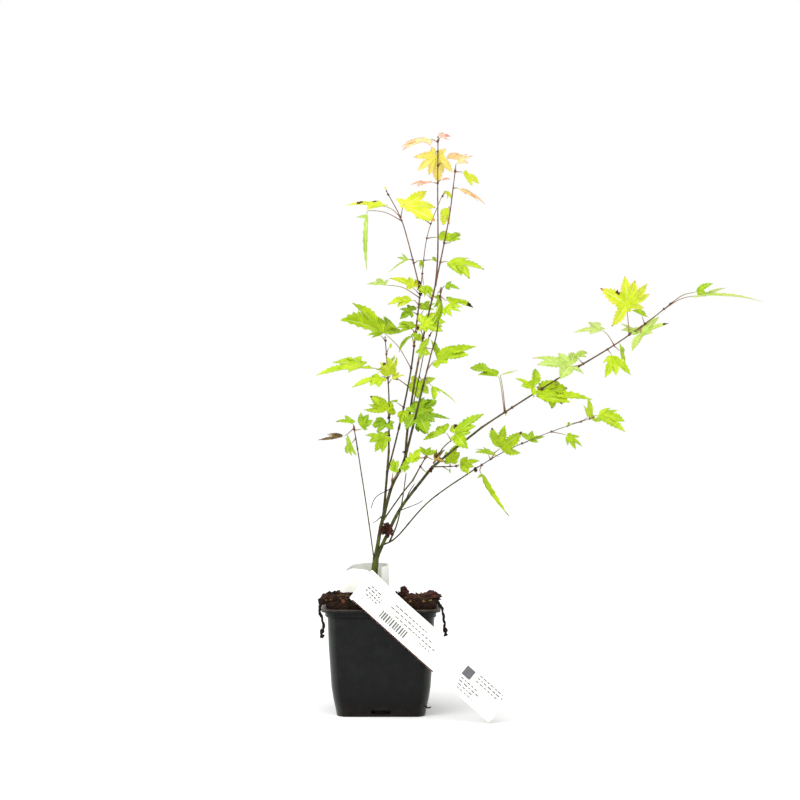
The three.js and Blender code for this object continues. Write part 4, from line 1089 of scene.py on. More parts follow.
LOOKS = {
    "centre_shoot": {
        0: look([-125, 0.3, 1.3], [-60, 0.35, 1.2], [-20, 0.8, 0.8], [10, 0.85, 0.9], [40, 0.75],
            [105, 0.5, 0.8], tint="lime", spots=[[0, 0.5]]),
        1: look([-135, 0.5], [-75, 0.65, 1.1], [10, 0.85], [145, 0.35, 0.9], tint="green"),
    },
    "top_left": {
        0: look([-60, 0.9, 0.6], [-25, 0.8], [0, 0.8], [75, 0.45, 0.6]),
        2: look([-155, 0.3, 0.8], [-95, 0.75, 0.6], [-60, 0.8, 0.7], [-30, 0.7, 0.8], [-5, 0.95],
            [20, 0.65, 0.8], [40, 0.85, 0.7], [110, 0.4, 0.7], lean=11),
        3: look([-50, 1.1, 0.8], [-10, 1.4, 0.8], [15, 1.3, 0.7], roll=50),
    },
    "top_right": {
        0: look([-25, 0.65, 0.8], [15, 0.85, 0.8], [60, 0.9, 0.7], roll=60),
        1: look([-20, 0.7, 1.1], [10, 0.95], [55, 0.3]),
        2: look([-25, 0.3], [0, 0.65, 0.8], [20, 0.85, 0.8], [50, 0.7, 0.8]),
        3: look([-30, 0.75, 1.1], [-5, 1, 1.3], [25, 0.8], tint="gold"),
        4: look([-45, 0.7], [-20, 0.85, 0.7], [0, 0.85, 0.7], [45, 0.45, 0.8], hooks=[[1, -0.25]]),
    },
    "outer_shoot": {
        0: look([-95, 0.3, 1.2], [-45, 0.3, 1.4], [-10, 0.7], [15, 0.9, 0.9], [55, 0.65, 0.8],
            tint="green"),
        1: look([-60, 0.95, 0.5], [-20, 0.35, 0.5], [5, 0.85, 0.25], tint="lime", web=0.5),
        2: look([-30, 0.55, 0.8], [5, 0.9], [25, 0.8, 0.6], [90, 0.4, 0.7], black=[[1, 0.7], [2, 0.85]]),
        3: look([-55, 0.55, 0.9], [-30, 1, 0.4], [45, 0.45, 0.8]),
    },
    "slender_shoot": {
        0: look([-60, 0.7, 1.2], [-15, 1, 1.2], [30, 1, 1.2], [75, 0.8, 1.1], [140, 0.9, 0.8], roll=25),
    },
    "inner_shoot": {
        0: look([-130, 0.8, 0.4], [-105, 0.6, 1.3], [-70, 0.45, 0.9], [-25, 0.85], [15, 1], tint="green"),
        1: look([-100, 0.35, 0.8], [-75, 0.85, 0.8], [-50, 1, 0.8], [-8, 1, 0.5], [25, 0.3, 0.7],
            [150, 0.3, 0.7]),
        2: look([-55, 0.5], [-30, 0.8], [-5, 1.05], [20, 0.65, 1.2], [70, 0.4, 1.2], tint="green"),
        3: look([-40, 0.9, 0.3], [-10, 1, 0.7], [145, 0.45, 0.8]),
        6: look([-125, 0.75], [-85, 0.65], [-5, 0.7, 0.8], [45, 1.1, 0.8], [90, 0.55]),
        7: look([-30, 0.6], [-5, 0.95, 1.2], [25, 0.6], tint="gold"),
        8: look([-125, 0.7, 1.2], [-70, 0.55], [-25, 1.05, 0.7], [30, 0.35, 0.5], tint="gold",
            hooks=[[2, 0.5]], black=[[0, 0.7]]),
        9: look([-95, 0.5, 0.6], [-45, 1.1, 0.5], [-20, 1.2, 0.5], tint="pale", roll=50, web=0.6),
    },
    "upper_left": {
        0: look([-140, 0.2, 0.7], [-50, 0.2, 0.8], [0, 1, 1.3], [30, 0.9, 0.8], [70, 0.9, 0.8],
            [160, 0.4, 0.8]),
        1: look([-100, 0.3, 0.6], [-40, 0.9], [-10, 1, 0.8], [55, 0.5], tint="gold",
            spots=[[1, 0.42], [2, 0.5]]),
        2: look([-80, 0.25, 0.3], [-2, 0.98, 0.24], tint="pale", web=0.3, hooks=[[1, 0.06]]),
        3: look([-105, 0.8, 0.3], [-85, 0.7, 0.45], [-10, 0.95, 0.28], tint="pale", web=0.45,
            hooks=[[2, 0.15]]),
        5: look([-20, 0.35, 0.6], [15, 0.4, 0.6]),
    },
    "upper_inner": {
        0: look([-30, 0.3], [0, 0.9, 0.8], [25, 0.85, 0.8], [60, 0.6], black=[[1, 0.85]]),
    },
    "rear_shoot": {
        0: look([-70, 0.5, 1.2], [-45, 0.95, 0.6], [0, 0.85], [35, 0.85], [65, 0.65], tint="gold",
            spots=[[3, 0.6]]),
        1: look([-55, 0.3], [-15, 0.85, 0.6], [10, 0.4, 1.2], [55, 0.4, 1.2], [95, 0.25]),
        2: look([-65, 0.5, 0.8], [-15, 0.95, 0.5], [20, 0.9], tint="gold", black=[[0, 0.5]]),
        3: look([-150, 0.5, 1.2], [-90, 0.5, 1.4], [-25, 0.6], [0, 0.9, 1.2], [25, 0.8, 0.4], [45, 1, 0.4],
            tint="green", black=[[3, 0.94]]),
        4: look([-50, 0.95, 0.8], [-25, 0.95, 1.2], [20, 0.75, 0.8], [115, 0.6, 1.2], [165, 0.45]),
        5: look([-150, 0.35], [-75, 0.4, 0.8], [-45, 0.85, 0.5], [-15, 0.7], [30, 0.85, 0.8],
            [50, 0.8, 0.8], [105, 0.35, 1.2], tint="green"),
    },
    "dark_sprig": {
        0: look([-95, 0.6, 1.1], [-45, 0.75], [-15, 0.55, 1.1], [5, 0.85, 0.3], [35, 0.45, 1.2], [65, 0.7],
            [115, 0.5], [160, 0.35, 1.1]),
        1: look([-40, 0.45, 1.2], [0, 0.7, 1.2], [50, 0.9, 0.9], [85, 0.85], roll=40),
    },
    "side_tip": {
        0: look([-60, 0.3, 0.8], [-20, 0.65], [20, 0.7], [50, 0.75], tint="deep"),
        1: look([-90, 0.5, 0.9], [-50, 1.2, 0.4], [5, 0.95, 0.7], roll=60, black=[[2, 0.85]]),
        2: look([-50, 0.55, 0.35], [-15, 0.55, 0.4], [10, 0.95, 0.35], web=0.6,
            hooks=[[0, 0.5], [2, -0.2]]),
    },
    "front_sprig": {
        0: look([-55, 0.4, 1.1], [-20, 0.75], [5, 0.75], [40, 0.35]),
        1: look([-50, 0.2], [-10, 0.6, 1.1], [20, 0.95], [95, 0.45], tint="lime"),
    },
    "diagonal_shoot": {
        0: look([-10, 0.55], [10, 0.85], [70, 0.55, 0.9], [120, 0.55, 0.9], tint="green"),
        1: look([-10, 0.75], [35, 0.6], [100, 1, 0.5], tint="green"),
        2: look([-85, 0.3, 0.7], [-45, 0.9, 0.6], [15, 0.95, 0.5], [60, 0.8, 0.5]),
    },
    "right_twig": {
        0: look([-145, 0.25, 1.1], [-85, 0.75], [-38, 0.5, 0.9], [-15, 0.65, 0.8], [5, 1, 0.7], [85, 0.45],
            tint="lime", spots=[[5, 0.4]]),
        1: look([-100, 0.65, 1.1], [-60, 0.6], [5, 0.95, 0.8]),
        2: look([-70, 0.25, 0.8], [45, 0.9], [90, 0.45, 0.8], tint="gold"),
    },
    "flat_twig": {
        0: look([-50, 0.55, 1.3], [-20, 0.9, 1.2], [5, 1.2, 0.9], [50, 0.75, 1.2], [110, 0.5],
            tint="green"),
        1: look([-55, 0.7, 1.3], [-25, 0.7], [0, 0.95, 0.7], [55, 0.6]),
    },
    "right_middle": {
        0: look([-75, 0.5], [-40, 0.75, 0.6], [-15, 0.95, 1.5], [15, 0.7, 0.8], tint="green"),
        1: look([0, 0.6, 0.35], [20, 0.9, 0.15], tint="pale", web=0.4),
        2: look([-12, 0.75, 0.9], [5, 1.2, 0.4], [25, 0.7, 1.2], [55, 0.65, 1.3], tint="green",
            black=[[2, 0.95]]),
        3: look([-110, 1.2, 0.8], [-35, 0.3, 0.6], [-5, 0.9, 0.5], [15, 0.65], [80, 0.5, 1.1], roll=40),
        4: look([-60, 1.2, 1.1], [-5, 0.9, 1.2], [45, 0.7, 0.8], tint="green", black=[[1, 0.9], [2, 0.8]]),
    },
    "right_tip": {
        0: look([-105, 0.75], [-55, 0.55, 0.9], [-5, 1.1, 0.35], [15, 1, 0.8], [60, 0.7, 1.2],
            [165, 0.45, 0.8]),
        2: look([-65, 0.5, 0.3], [-30, 0.9, 0.9], [-5, 0.75, 0.9], [35, 1, 0.8]),
        3: look([-160, 0.3], [-105, 0.65, 0.5], [-75, 0.85, 0.7], [-55, 0.95, 0.8], [-25, 0.8],
            [0, 0.9, 0.8], [55, 1, 0.9], [150, 0.85], spots=[[6, 0.3]], black=[[6, 0.95]]),
        4: look([-85, 0.3, 0.9], [-60, 1, 0.8], [35, 0.75, 0.8], [60, 0.45]),
        5: look([-130, 0.7, 1.1], [-25, 0.35, 0.8], [10, 0.85, 0.5], [45, 0.75], [150, 0.65, 1.1],
            tint="pale", black=[[2, 0.75]]),
        6: look([-30, 1.2, 0.3], [5, 0.9, 1.2], [55, 0.4], tint="pale", roll=50),
        7: look([-150, 0.2], [5, 0.92, 0.42], [60, 0.75, 0.2], [110, 0.25, 1.1], tint="pale", web=0.4),
        8: look([-105, 0.85, 1.4], [-40, 1.2, 1.1]),
    },
    "low_shoot": {
        0: look([-95, 0.85, 1.2], [-40, 1.3, 0.9], [-5, 1.15, 0.7], [25, 0.95, 1.3], [50, 0.5],
            tint="green", black=[[3, 0.92], [1, 0.9]]),
        1: look([-65, 0.55], [-35, 0.9, 0.6], [25, 0.85, 0.5], [70, 0.9, 0.8]),
        2: look([-45, 0.5, 0.6], [-20, 0.75, 0.8], [15, 0.85, 0.5], [45, 0.65, 0.5], [80, 0.3, 0.7],
            tint="green"),
        3: look([-100, 1, 0.6], [-25, 1.2], [15, 0.6, 0.6], roll=50),
        4: look([-80, 0.25, 0.8], [-35, 1, 0.7], [-10, 0.8], [15, 0.6, 0.5], [40, 0.45, 0.8]),
        5: look([-80, 0.2, 0.4], [-49, 0.7, 0.9], tint="green", web=0.4, hooks=[[1, 0.95]]),
    },
}
# Young leaves that have hardly opened, where the rule puts a leaf and the photograph shows only a bud
YOUNG = {"diagonal_shoot": [3], "flat_twig": [2], "inner_shoot": [11], "low_shoot": [7], "rear_shoot": [6],
         "right_middle": [5], "upper_inner": [3, 4]}
for name, numbers in YOUNG.items():
    for n in numbers:
        LOOKS[name][n] = look([-20, 0.3, 0.8], [20, 0.35, 0.8])
print(sum(len(looks) for looks in LOOKS.values()), "leaves with a look of their own")

# %% Blades
BLADE_THICK = 0.25
CURL = {"common": [0.05, 0.4], "strong": [0.9, 1.0], "often": 0.1, "dead": [1.2, 1.0], "seen": [0, 0.3]}
SEEN = {"droop": 0.1, "pleat": 0.3, "fat": 1.75, "slim": 1.4, "calm": 0.5}
PLEAT, SWAY, TWIST = [0.22, 0.2], 0.3, 1.2
SLENDER = ["top_left", "top_right", "upper_left", "right_tip", "low_shoot"]


def lobe_draws(length, spread, shared):
    """The turns, reaches and droops that a leaf shares with its solid."""
    lobes = LOBES[1:6] if length < SMALL_BLADE else LOBES
    turns, reaches, droops = [], [], []
    for turn, share in lobes:
        turns.append(radians(turn * spread + (next(shared) - 0.5) * JITTER["turn"] * spread))
        reaches.append(share * (1 + (next(shared) - 0.5) * JITTER["reach"]))
        droops.append(JITTER["droop"] * (0.5 + next(shared)))
    return turns, reaches, droops


def grow_blade(row, line, shared, own, look, fatness):
    """The top points of a blade in millimetres, its pattern, and its faces' colours."""
    spread, tint = row[5], look.get("tint", row[6])
    _, base, _, (rib, side, face), length = leaf_places(line, row)
    turns, reaches, droops = lobe_draws(length, spread, shared)
    fats = [1] * len(turns)
    pleat = draw(own, PLEAT) + 1 - min(1, spread)
    strong = next(own) < CURL["often"]
    kind = "dead" if tint == "brown" else "strong" if strong else "common"
    if "lobes" in look:
        turns, reaches, fats = (list(column) for column in zip(*((*lobe, 1)[:3] for lobe in look["lobes"])))
        turns, fats = [radians(turn) for turn in turns], [fat * fatness for fat in fats]
        droops, spread, pleat, kind = [SEEN["droop"]] * len(turns), 1, SEEN["pleat"], "seen"
    curls = [draw(own, CURL[kind]) * (0.5 + next(own)) for _ in turns]
    calm = SEEN["calm"] if kind == "seen" else 1
    sways = [(next(own) - 0.5) * SWAY * calm for _ in turns]
    for i, hook in look.get("hooks", []):
        sways[i] = hook
    twists = [(next(own) - 0.5) * TWIST * calm for _ in turns]
    pattern = patterns[len(turns)]
    web = look.get("web", 1)
    points = pattern.weld(leaf_grids(turns, reaches, droops, fats, spread, pleat, curls, sways, twists, web))
    colours = paint_leaf(pattern, points, own, tint, look)
    palm = base + rib * PALM_AT * length
    return palm + (points @ np.array([rib, side, face])) * length, pattern, colours


def from_arrays(name, points, faces, slots, materials):
    """Points in millimetres and their faces as a new object, each face in its material slot."""
    mesh = bpy.data.meshes.new(name)
    mesh.from_pydata((points * MM).tolist(), [], faces)
    for material in materials:
        mesh.materials.append(material)
    mesh.polygons.foreach_set("material_index", np.array(slots, dtype=np.int32))
    mesh.update()
    return in_scene(name, mesh)


class Stock:
    """Blades of one tint, gathered as arrays until they become one mesh."""

    def __init__(self):
        self.points, self.faces, self.slots, self.count = [], [], [], 0

    def add_blade(self, points, pattern, colours):
        lift = pattern.normals(points) * BLADE_THICK / 2
        size, start = pattern.size, self.count
        self.points += [points + lift, points - lift]
        for ring, colour in zip(pattern.faces, colours):
            self.faces.append([p + start for p in ring])
            self.slots.append(colour)
        for ring, colour in zip(pattern.faces, colours):
            self.faces.append([p + start + size for p in reversed(ring)])
            self.slots.append(colour if colour in (VEIN, SCORCHED, CHARRED) else UNDERSIDE)
        for a, b in pattern.rim:
            self.faces.append([b + start, a + start, a + start + size, b + start + size])
            self.slots.append(EDGE)
        self.count += 2 * size

    def make(self, name, slot, tint, replaced):
        piece = from_arrays(name, np.vstack(self.points), self.faces, self.slots, leaf_materials(tint))
        smooth(piece.data, angle=60)
        settle(piece, replaced)


stocks = {tint: Stock() for tint in TINTS}
stalks = []
for name, shoot in SHOOTS.items():
    shared, own = seeded(shoot["seed"]), seeded(shoot["seed"] + 500)
    for n, row in enumerate(rows[name]):
        seen = LOOKS.get(name, {}).get(n, {})
        row = [*row[:3], seen.get("lean", row[3]), seen.get("roll", row[4]), *row[5:]]
        fatness = SEEN["slim" if name in SLENDER else "fat"]
        blade = grow_blade(row, lines[name], shared, own, seen, fatness)
        stocks[seen.get("tint", row[6])].add_blade(*blade)
        node, base, _, (rib, _, _), length = leaf_places(lines[name], row)
        stalks.append((node, base, base + rib * PALM_AT * length))
for tint, stock in stocks.items():
    if stock.count:
        name = "leaves_" + tint
        stock.make(name, SHARED_SLOT.get(tint, name), tint, MASSES)

# %% [markdown]
# ## Petioles and buds
#
# A petiole is a thin stalk, red brown where it leaves the stem and greener towards the blade, that arches
# under the leaf's weight. Short ones are straight. At the nodes sit pairs of small red brown buds, each a
# sphere that is drawn out to a point. The leafy stems get their bark here as well.

# %% Petioles, buds and leafy stems
PETIOLE = {"foot": 0.42, "tip": 0.3, "arch": 0.1, "short": 12, "step": 2.2, "bulge": 0.25,
           "bulge_long": 1.4, "end": 0.3}
BUD = {"long": 1.1, "wide": 0.5, "out": 0.6, "along": 1.4, "at_tip": 1.1, "past_tip": 0.8, "point": 0.35,
       "size": [0.7, 0.4]}


def petiole_tube(node, base, palm):
    """A stalk from the stem to the palm, with a bulge at its foot."""
    far = np.linalg.norm(base - node)
    points = [node, base, palm]
    if far > PETIOLE["short"]:
        points.insert(1, (node + base) / 2 + np.array([0, 0, far * PETIOLE["arch"]]))
    line = Line(points)
    count = max(4, round(line.length / PETIOLE["step"]))
    share = np.linspace(0, 1, count + 1)
    radii = PETIOLE["foot"] + (PETIOLE["tip"] - PETIOLE["foot"]) * share
    radii += PETIOLE["bulge"] * np.exp(-share * line.length / PETIOLE["bulge_long"])
    radii[-1] *= PETIOLE["end"]
    return tube(line.places(share), radii, share, sides=6)


def bud(bm, place, way, size):
    """A pointed bud: a small sphere drawn out along the way it points."""
    turn = Vector(way).to_track_quat("Z", "Y").to_matrix().to_4x4()
    shape = Matrix.Diagonal((BUD["wide"] * size, BUD["wide"] * size, BUD["long"] * size, 1))
    made = bmesh.ops.create_icosphere(bm, subdivisions=2, radius=1)["verts"]
    for v in made:
        v.co.xy *= 1 - BUD["point"] * max(0, v.co.z)
    bmesh.ops.transform(bm, matrix=Matrix.Translation(place) @ turn @ shape, verts=made)


petiole_stock = new_stock()
for stalk in stalks:
    gather(petiole_stock, petiole_tube(*stalk))
petiole = Finish("petiole", 0.45)
share = add(petiole.tree, "ShaderNodeAttribute", attribute_name="node").outputs["Fac"]
along = petiole.ramp(share, (0, "#6c4c3c"), (0.2, "#97705c"), (0.6, "#9a8a62"), (1, "#a4b44c"))
soft = petiole.group(streaks, Scale=1500)
tone = petiole.ramp(soft["Streak"], (0.3, 0.8), (0.65, 1.1))
petiole.colour(petiole.blend(0.8, along, tone, "MULTIPLY"))
finish_piece(petiole_stock, "petioles", MASSES, [petiole.material])

bud_stock = new_stock()
for name in SHOOTS:
    line, row = lines[name], seeded(SHOOTS[name]["seed"] + 900)
    radius = SHOOTS[name]["tip"]
    bud(bud_stock, line.at(1) + line.way(1) * BUD["past_tip"], line.way(1), BUD["at_tip"])
    for node in nodes_of[name]:
        way = line.way(node)
        turn = Matrix.Rotation(FULL_TURN * next(row), 3, Vector(way))
        out = turn @ Vector(way).orthogonal().normalized()
        for sign in (-1, 1):
            spot = Vector(line.at(node)) + out * sign * (radius + 0.1)
            points_to = Vector(way) * BUD["along"] + out * sign * BUD["out"]
            bud(bud_stock, spot, points_to, draw(row, BUD["size"]))
bud_finish = Finish("bud", 0.4)
scales = bud_finish.group(streaks, Scale=1700)
bud_finish.colour(bud_finish.ramp(scales["Streak"], (0.35, "#3c2018"), (0.65, "#7c4a38")))
bud_finish.bump(scales["Streak"], strength=0.4, distance=0.0003)
finish_piece(bud_stock, "buds", MASSES, [bud_finish.material])
finish_piece(shoot_stock, "leafy_stems", MASSES, [shoot_bark])

# %% [markdown]
# ## The pot
#
# A nursery pot is blown or moulded from thin black plastic: a square cup with round corners that widens
# upwards, with a collar band and a flat lip. The outline is one square face whose corners are bevelled. It
# is then extruded and scaled from level to level, up the outside, over the lip and down the inside, so the
# whole wall stays one closed skin. The lip and the foot get a small round edge, because it is the rounded
# edges of black plastic that catch the light. The four drain slots are cut with a rounded bar and a
# boolean.

# %% The pot's skin
BASE, WALL, COLLAR, RIM = 33.2, 40.1, 41.4, 44.6
POT_HIGH, LIP_LOW, BAND_LOW = 81, 78.6, 74
CORNER = 9.6
POT_LEVELS = [
    (BASE, 0), (BASE + 0.9, 5), (BASE + 2.5, 12.5), (BASE + 4, 22), (BASE + 4.8, 34), (WALL - 0.9, 52),
    (WALL - 0.2, BAND_LOW - 2), (WALL, BAND_LOW),
    (COLLAR, BAND_LOW + 0.8), (COLLAR, LIP_LOW), (RIM, LIP_LOW), (RIM, POT_HIGH),
    (COLLAR - 1.2, POT_HIGH), (COLLAR - 1.2, BAND_LOW + 0.8), (WALL - 1.2, BAND_LOW), (BASE - 1.2, 1.6),
]
ROUNDED = [(RIM, POT_HIGH, 0.7), (RIM, LIP_LOW, 0.7), (BASE, 0, 0.9)]
SLOT = {"wide": 15, "deep": 6, "high": 3, "low": 2.2, "soft": 0.6}
NEAR = 0.01
POT_ANGLE = 35


def rounded_square(bm, half, corner, segments):
    """A flat square face with round corners, at height 0."""
    made = bmesh.ops.create_grid(bm, x_segments=1, y_segments=1, size=half)
    bmesh.ops.bevel(bm, geom=made["verts"], affect="VERTICES", offset=corner, segments=segments,
                    profile=0.5, material=-1)
    bmesh.ops.remove_doubles(bm, verts=bm.verts, dist=1e-4)
    return max(bm.faces, key=lambda f: f.calc_area())


def lift_through(bm, face, levels):
    """Extrudes a face from level to level, each given as its half width and its height."""
    half, height = levels[0]
    for wide, high in levels[1:]:
        made = bmesh.ops.extrude_face_region(bm, geom=[face])["geom"]
        if face.is_valid:
            bmesh.ops.delete(bm, geom=[face], context="FACES_ONLY")
        face = next(g for g in made if isinstance(g, bmesh.types.BMFace))
        grow = wide / half
        bmesh.ops.scale(bm, vec=(grow, grow, 1), verts=face.verts)
        bmesh.ops.translate(bm, vec=(0, 0, high - height), verts=face.verts)
        half, height = wide, high


bm = bmesh.new()
face = rounded_square(bm, BASE, CORNER, segments=9)
# A copy of the first face stays behind as the pot's underside
bmesh.ops.duplicate(bm, geom=[face])
lift_through(bm, face, POT_LEVELS)
bmesh.ops.remove_doubles(bm, verts=bm.verts, dist=1e-4)
face_out(bm)


def level_edges(bm, half, high):
    """The edges that run round the pot at one level and width."""
    found = []
    for edge in bm.edges:
        a, b = edge.verts
        level = abs(a.co.z - high) < NEAR and abs(b.co.z - high) < NEAR
        wide = max(abs(v) for p in (a.co, b.co) for v in p.xy)
        if level and wide > half - NEAR and edge.calc_length() > NEAR:
            found.append(edge)
    return found


for half, high, soft in ROUNDED:
    bmesh.ops.bevel(bm, geom=level_edges(bm, half, high), affect="EDGES", offset=soft, segments=3,
                    profile=0.5, material=-1)
print("pot skin:", len(bm.faces), "faces, closed:", all(e.is_manifold for e in bm.edges))

# %% [markdown]
# The collar band has two small groups of thin moulded ribs on each side.

# %% Slots and ribs
pot = finish_piece(bm, "pot_shell", ["pot"], [], angle=POT_ANGLE)
RIBS = {"at": [-10.5, -8.7, -6.9, -5.1, 27, 29], "wide": 0.7, "out": 0.35, "high": 3.4, "soft": 0.15,
        "sunk": 0.3, "up": 0.4}


def bar_of(size, place, turn, soft):
    """A block in millimetres with soft edges, turned about the pot's axis."""
    bm = bmesh.new()
    bmesh.ops.create_cube(bm, size=1)
    bmesh.ops.scale(bm, vec=size, verts=bm.verts)
    bmesh.ops.bevel(bm, geom=bm.edges[:], affect="EDGES", offset=soft, segments=2, profile=0.5, material=-1)
    bmesh.ops.translate(bm, vec=place, verts=bm.verts)
    bmesh.ops.rotate(bm, matrix=Matrix.Rotation(turn, 3, "Z"), verts=bm.verts)
    return bm


cutter_bm = bmesh.new()
rib_bm = new_stock()
for side in range(4):
    turn = side * pi / 2
    low = SLOT["low"] + SLOT["high"] / 2
    size = SLOT["wide"], SLOT["deep"], SLOT["high"]
    gather(cutter_bm, bar_of(size, (0, -BASE, low), turn, SLOT["soft"]))
    size = RIBS["wide"], RIBS["out"] + 2 * RIBS["sunk"], RIBS["high"]
    for at in RIBS["at"]:
        middle = (at, -COLLAR - RIBS["out"] / 2 + RIBS["sunk"], (BAND_LOW + LIP_LOW) / 2 + RIBS["up"])
        gather(rib_bm, bar_of(size, middle, turn, RIBS["soft"]))
bmesh.ops.scale(cutter_bm, vec=(MM, MM, MM), verts=cutter_bm.verts)
cutter = to_object(cutter_bm, "slot_cutter")
cut = pot.modifiers.new("slots", "BOOLEAN")
cut.operation, cut.object, cut.solver = "DIFFERENCE", cutter, "EXACT"
dressed = pot.evaluated_get(bpy.context.evaluated_depsgraph_get())
cut_mesh = bpy.data.meshes.new_from_object(dressed)
pot.modifiers.clear()
pot.data = cut_mesh
pot.data.set_sharp_from_angle(angle=radians(POT_ANGLE))
bpy.data.objects.remove(cutter)
print("pot with slots:", len(pot.data.polygons), "faces")

# %% [markdown]
# The plastic is charcoal, half glossy, with a fine grain. Watering has left a film of peat dust near the
# foot, with a few dried drops, and the lower wall is darker towards the foot. The top of the lip is painted
# paler, as dust and a painted highlight, and the rounded corners get a painted highlight. Each of these is
# a mask by place and noise, laid over the plastic in turn.

# %% Black plastic
plastic = Finish("black_plastic", 0.36, 0.17)
grain = plastic.group(streaks, Scale=700, Stretch=(1, 1, 1))
grit = plastic.group(specks, Scale=260, Size=0.12)
low = plastic.span(plastic.height(), 0.022, 0.0)
dusty = plastic.blend(1.0, low, grain["Blotch"], "MULTIPLY")
dust_mask = plastic.ramp(dusty, (0.28, 0), (0.75, 0.55))
film = plastic.ramp(grain["Blotch"], (0.42, "#0a0b0b"), (0.7, "#131414"))
# The lower wall is darker towards the foot
film = plastic.blend(0.9, film, plastic.span(plastic.height(), 0.006, 0.03), "MULTIPLY")
plastic_colour = plastic.blend(dust_mask, film, "#33241c")
# The rounded corners get a painted highlight: a mask of how far round a corner a point lies, from |y| over
# |x|
outward = add(plastic.tree, "ShaderNodeVectorMath", operation="ABSOLUTE")
sides = add(plastic.tree, "ShaderNodeSeparateXYZ")
turn = add(plastic.tree, "ShaderNodeMath", operation="DIVIDE")
plastic.link(plastic.place, outward.inputs[0])
wire(plastic.tree, (outward, "Vector", sides, 0), (sides, "Y", turn, 0), (sides, "X", turn, 1))
PAINTED_CORNER_HIGHLIGHT = [(0.08, 0), (0.17, 0.9), (0.3, 0.42), (0.45, 0.16), (0.7, 0)]
painted_corner_highlight = plastic.ramp(plastic.span(turn.outputs["Value"], 0.6, 1.4), *PAINTED_CORNER_HIGHLIGHT)
painted_corner_highlight = plastic.blend(0.5, painted_corner_highlight, grain["Streak"], "MULTIPLY")
plastic_colour = plastic.blend(painted_corner_highlight, plastic_colour, "#7d857c")
# The top of the lip is painted paler: dust and a painted highlight along its edge
lip_dust_and_highlight = plastic.blend(1.0, grain["Blotch"], plastic.span(plastic.height(), 0.0798, 0.0812), "MULTIPLY")
plastic_colour = plastic.blend(lip_dust_and_highlight, plastic_colour, "#6a5a4e")
spot_mask = plastic.ramp(grit["Speck"], (0.4, 0), (0.6, 0.16))
plastic.colour(plastic.blend(spot_mask, plastic_colour, "#5b4a3c"))
dull = plastic.ramp(grain["Streak"], (0.3, 0.3), (0.7, 0.48))
plastic.link(dull, plastic.shader.inputs["Roughness"])
plastic.bump(grain["Streak"], strength=0.12, distance=0.0002)
pot.data.materials.clear()
pot.data.materials.append(plastic.material)
finish_piece(rib_bm, "pot_ribs", ["pot"], [plastic.material])

# %% [markdown]
# ## The compost
#
# Potting compost is dark peat with crumbs, wood fibres and bark. Its surface is a fine grid, squared to the
# pot's inside and pushed up and down by two scales of noise, with its edge pulled down behind the lip and a
# slight fall to the back and to the right. Crumbs and fibres are then strewn over it from one small shape
# each, because loose bits with gaps between them are what tells compost from a rough cake.

# %% The mound
MOUND = {
    "half": 42.6, "top": 89, "back": 0.042, "right": 0.02, "fall": 1.8, "edge": 5, "low": 76, "cells": 96,
    "round": 8, "lump": [0.11, 2.4], "crumb": [0.45, 1.3], "highest": 1.2, "foot": 0.935,
}


def squarely(x, y):
    """How far a place is from the middle, where equal distances make a square with round corners."""
    return (abs(x) ** MOUND["round"] + abs(y) ** MOUND["round"]) ** (1 / MOUND["round"])


def mound_height(x, y):
    """How high the compost stands at a place, in millimetres."""
    far = squarely(x, y)
    brink = max(0, far - (MOUND["half"] - MOUND["edge"])) / MOUND["edge"]
    (coarse, high), (fine, low) = MOUND["lump"], MOUND["crumb"]
    lumps = lump(x * coarse, y * coarse, 3.1) * high
    crumbs = lump(x * fine, y * fine, 7.7) * low
    top = MOUND["top"] - MOUND["back"] * (y + MOUND["half"]) - MOUND["right"] * (x + MOUND["half"])
    return top + min(MOUND["highest"], lumps * (1 - 0.3 * brink) + crumbs) - MOUND["fall"] * brink**2.2


bm = new_stock()
bmesh.ops.create_grid(bm, x_segments=MOUND["cells"], y_segments=MOUND["cells"], size=MOUND["half"])
for v in bm.verts:
    x, y = v.co.xy
    far = squarely(x, y)
    if far > 0:
        v.co.xy *= max(abs(x), abs(y)) / far
    v.co.z = mound_height(*v.co.xy)
skirt = bmesh.ops.extrude_face_region(bm, geom=bm.faces[:])["geom"]
low_verts = [g for g in skirt if isinstance(g, bmesh.types.BMVert)]
for v in low_verts:
    v.co.z = MOUND["low"]
    v.co.xy *= MOUND["foot"]
bmesh.ops.dissolve_limit(bm, angle_limit=0.01, verts=low_verts,
                         edges=[g for g in skirt if isinstance(g, bmesh.types.BMEdge)])
face_out(bm)
print("mound:", len(bm.faces), "faces")

peat = Finish("peat", 0.95)
peat_grain = peat.group(streaks, Scale=1400, Stretch=(1, 1, 1))
peat_specks = peat.group(specks, Scale=620, Size=0.2)
peat_colour = peat.ramp(peat_grain["Streak"], (0.3, "#0f0a06"), (0.5, "#22150e"), (0.68, "#422b1b"))
peat_tone = peat.ramp(peat_grain["Blotch"], (0.4, (0.6, 0.55, 0.55)), (0.65, (1.2, 1.1, 1.0)))
peat_colour = peat.blend(0.8, peat_colour, peat_tone, "MULTIPLY")
peat_mask = peat.ramp(peat_specks["Speck"], (0.4, 0), (0.6, 0.35))
peat.colour(peat.blend(peat_mask, peat_colour, "#6e4a2a"))
peat.bump(peat_grain["Streak"], strength=0.9, distance=0.0012)
finish_piece(bm, "compost_bed", ["compost"], [peat.material], angle=80)

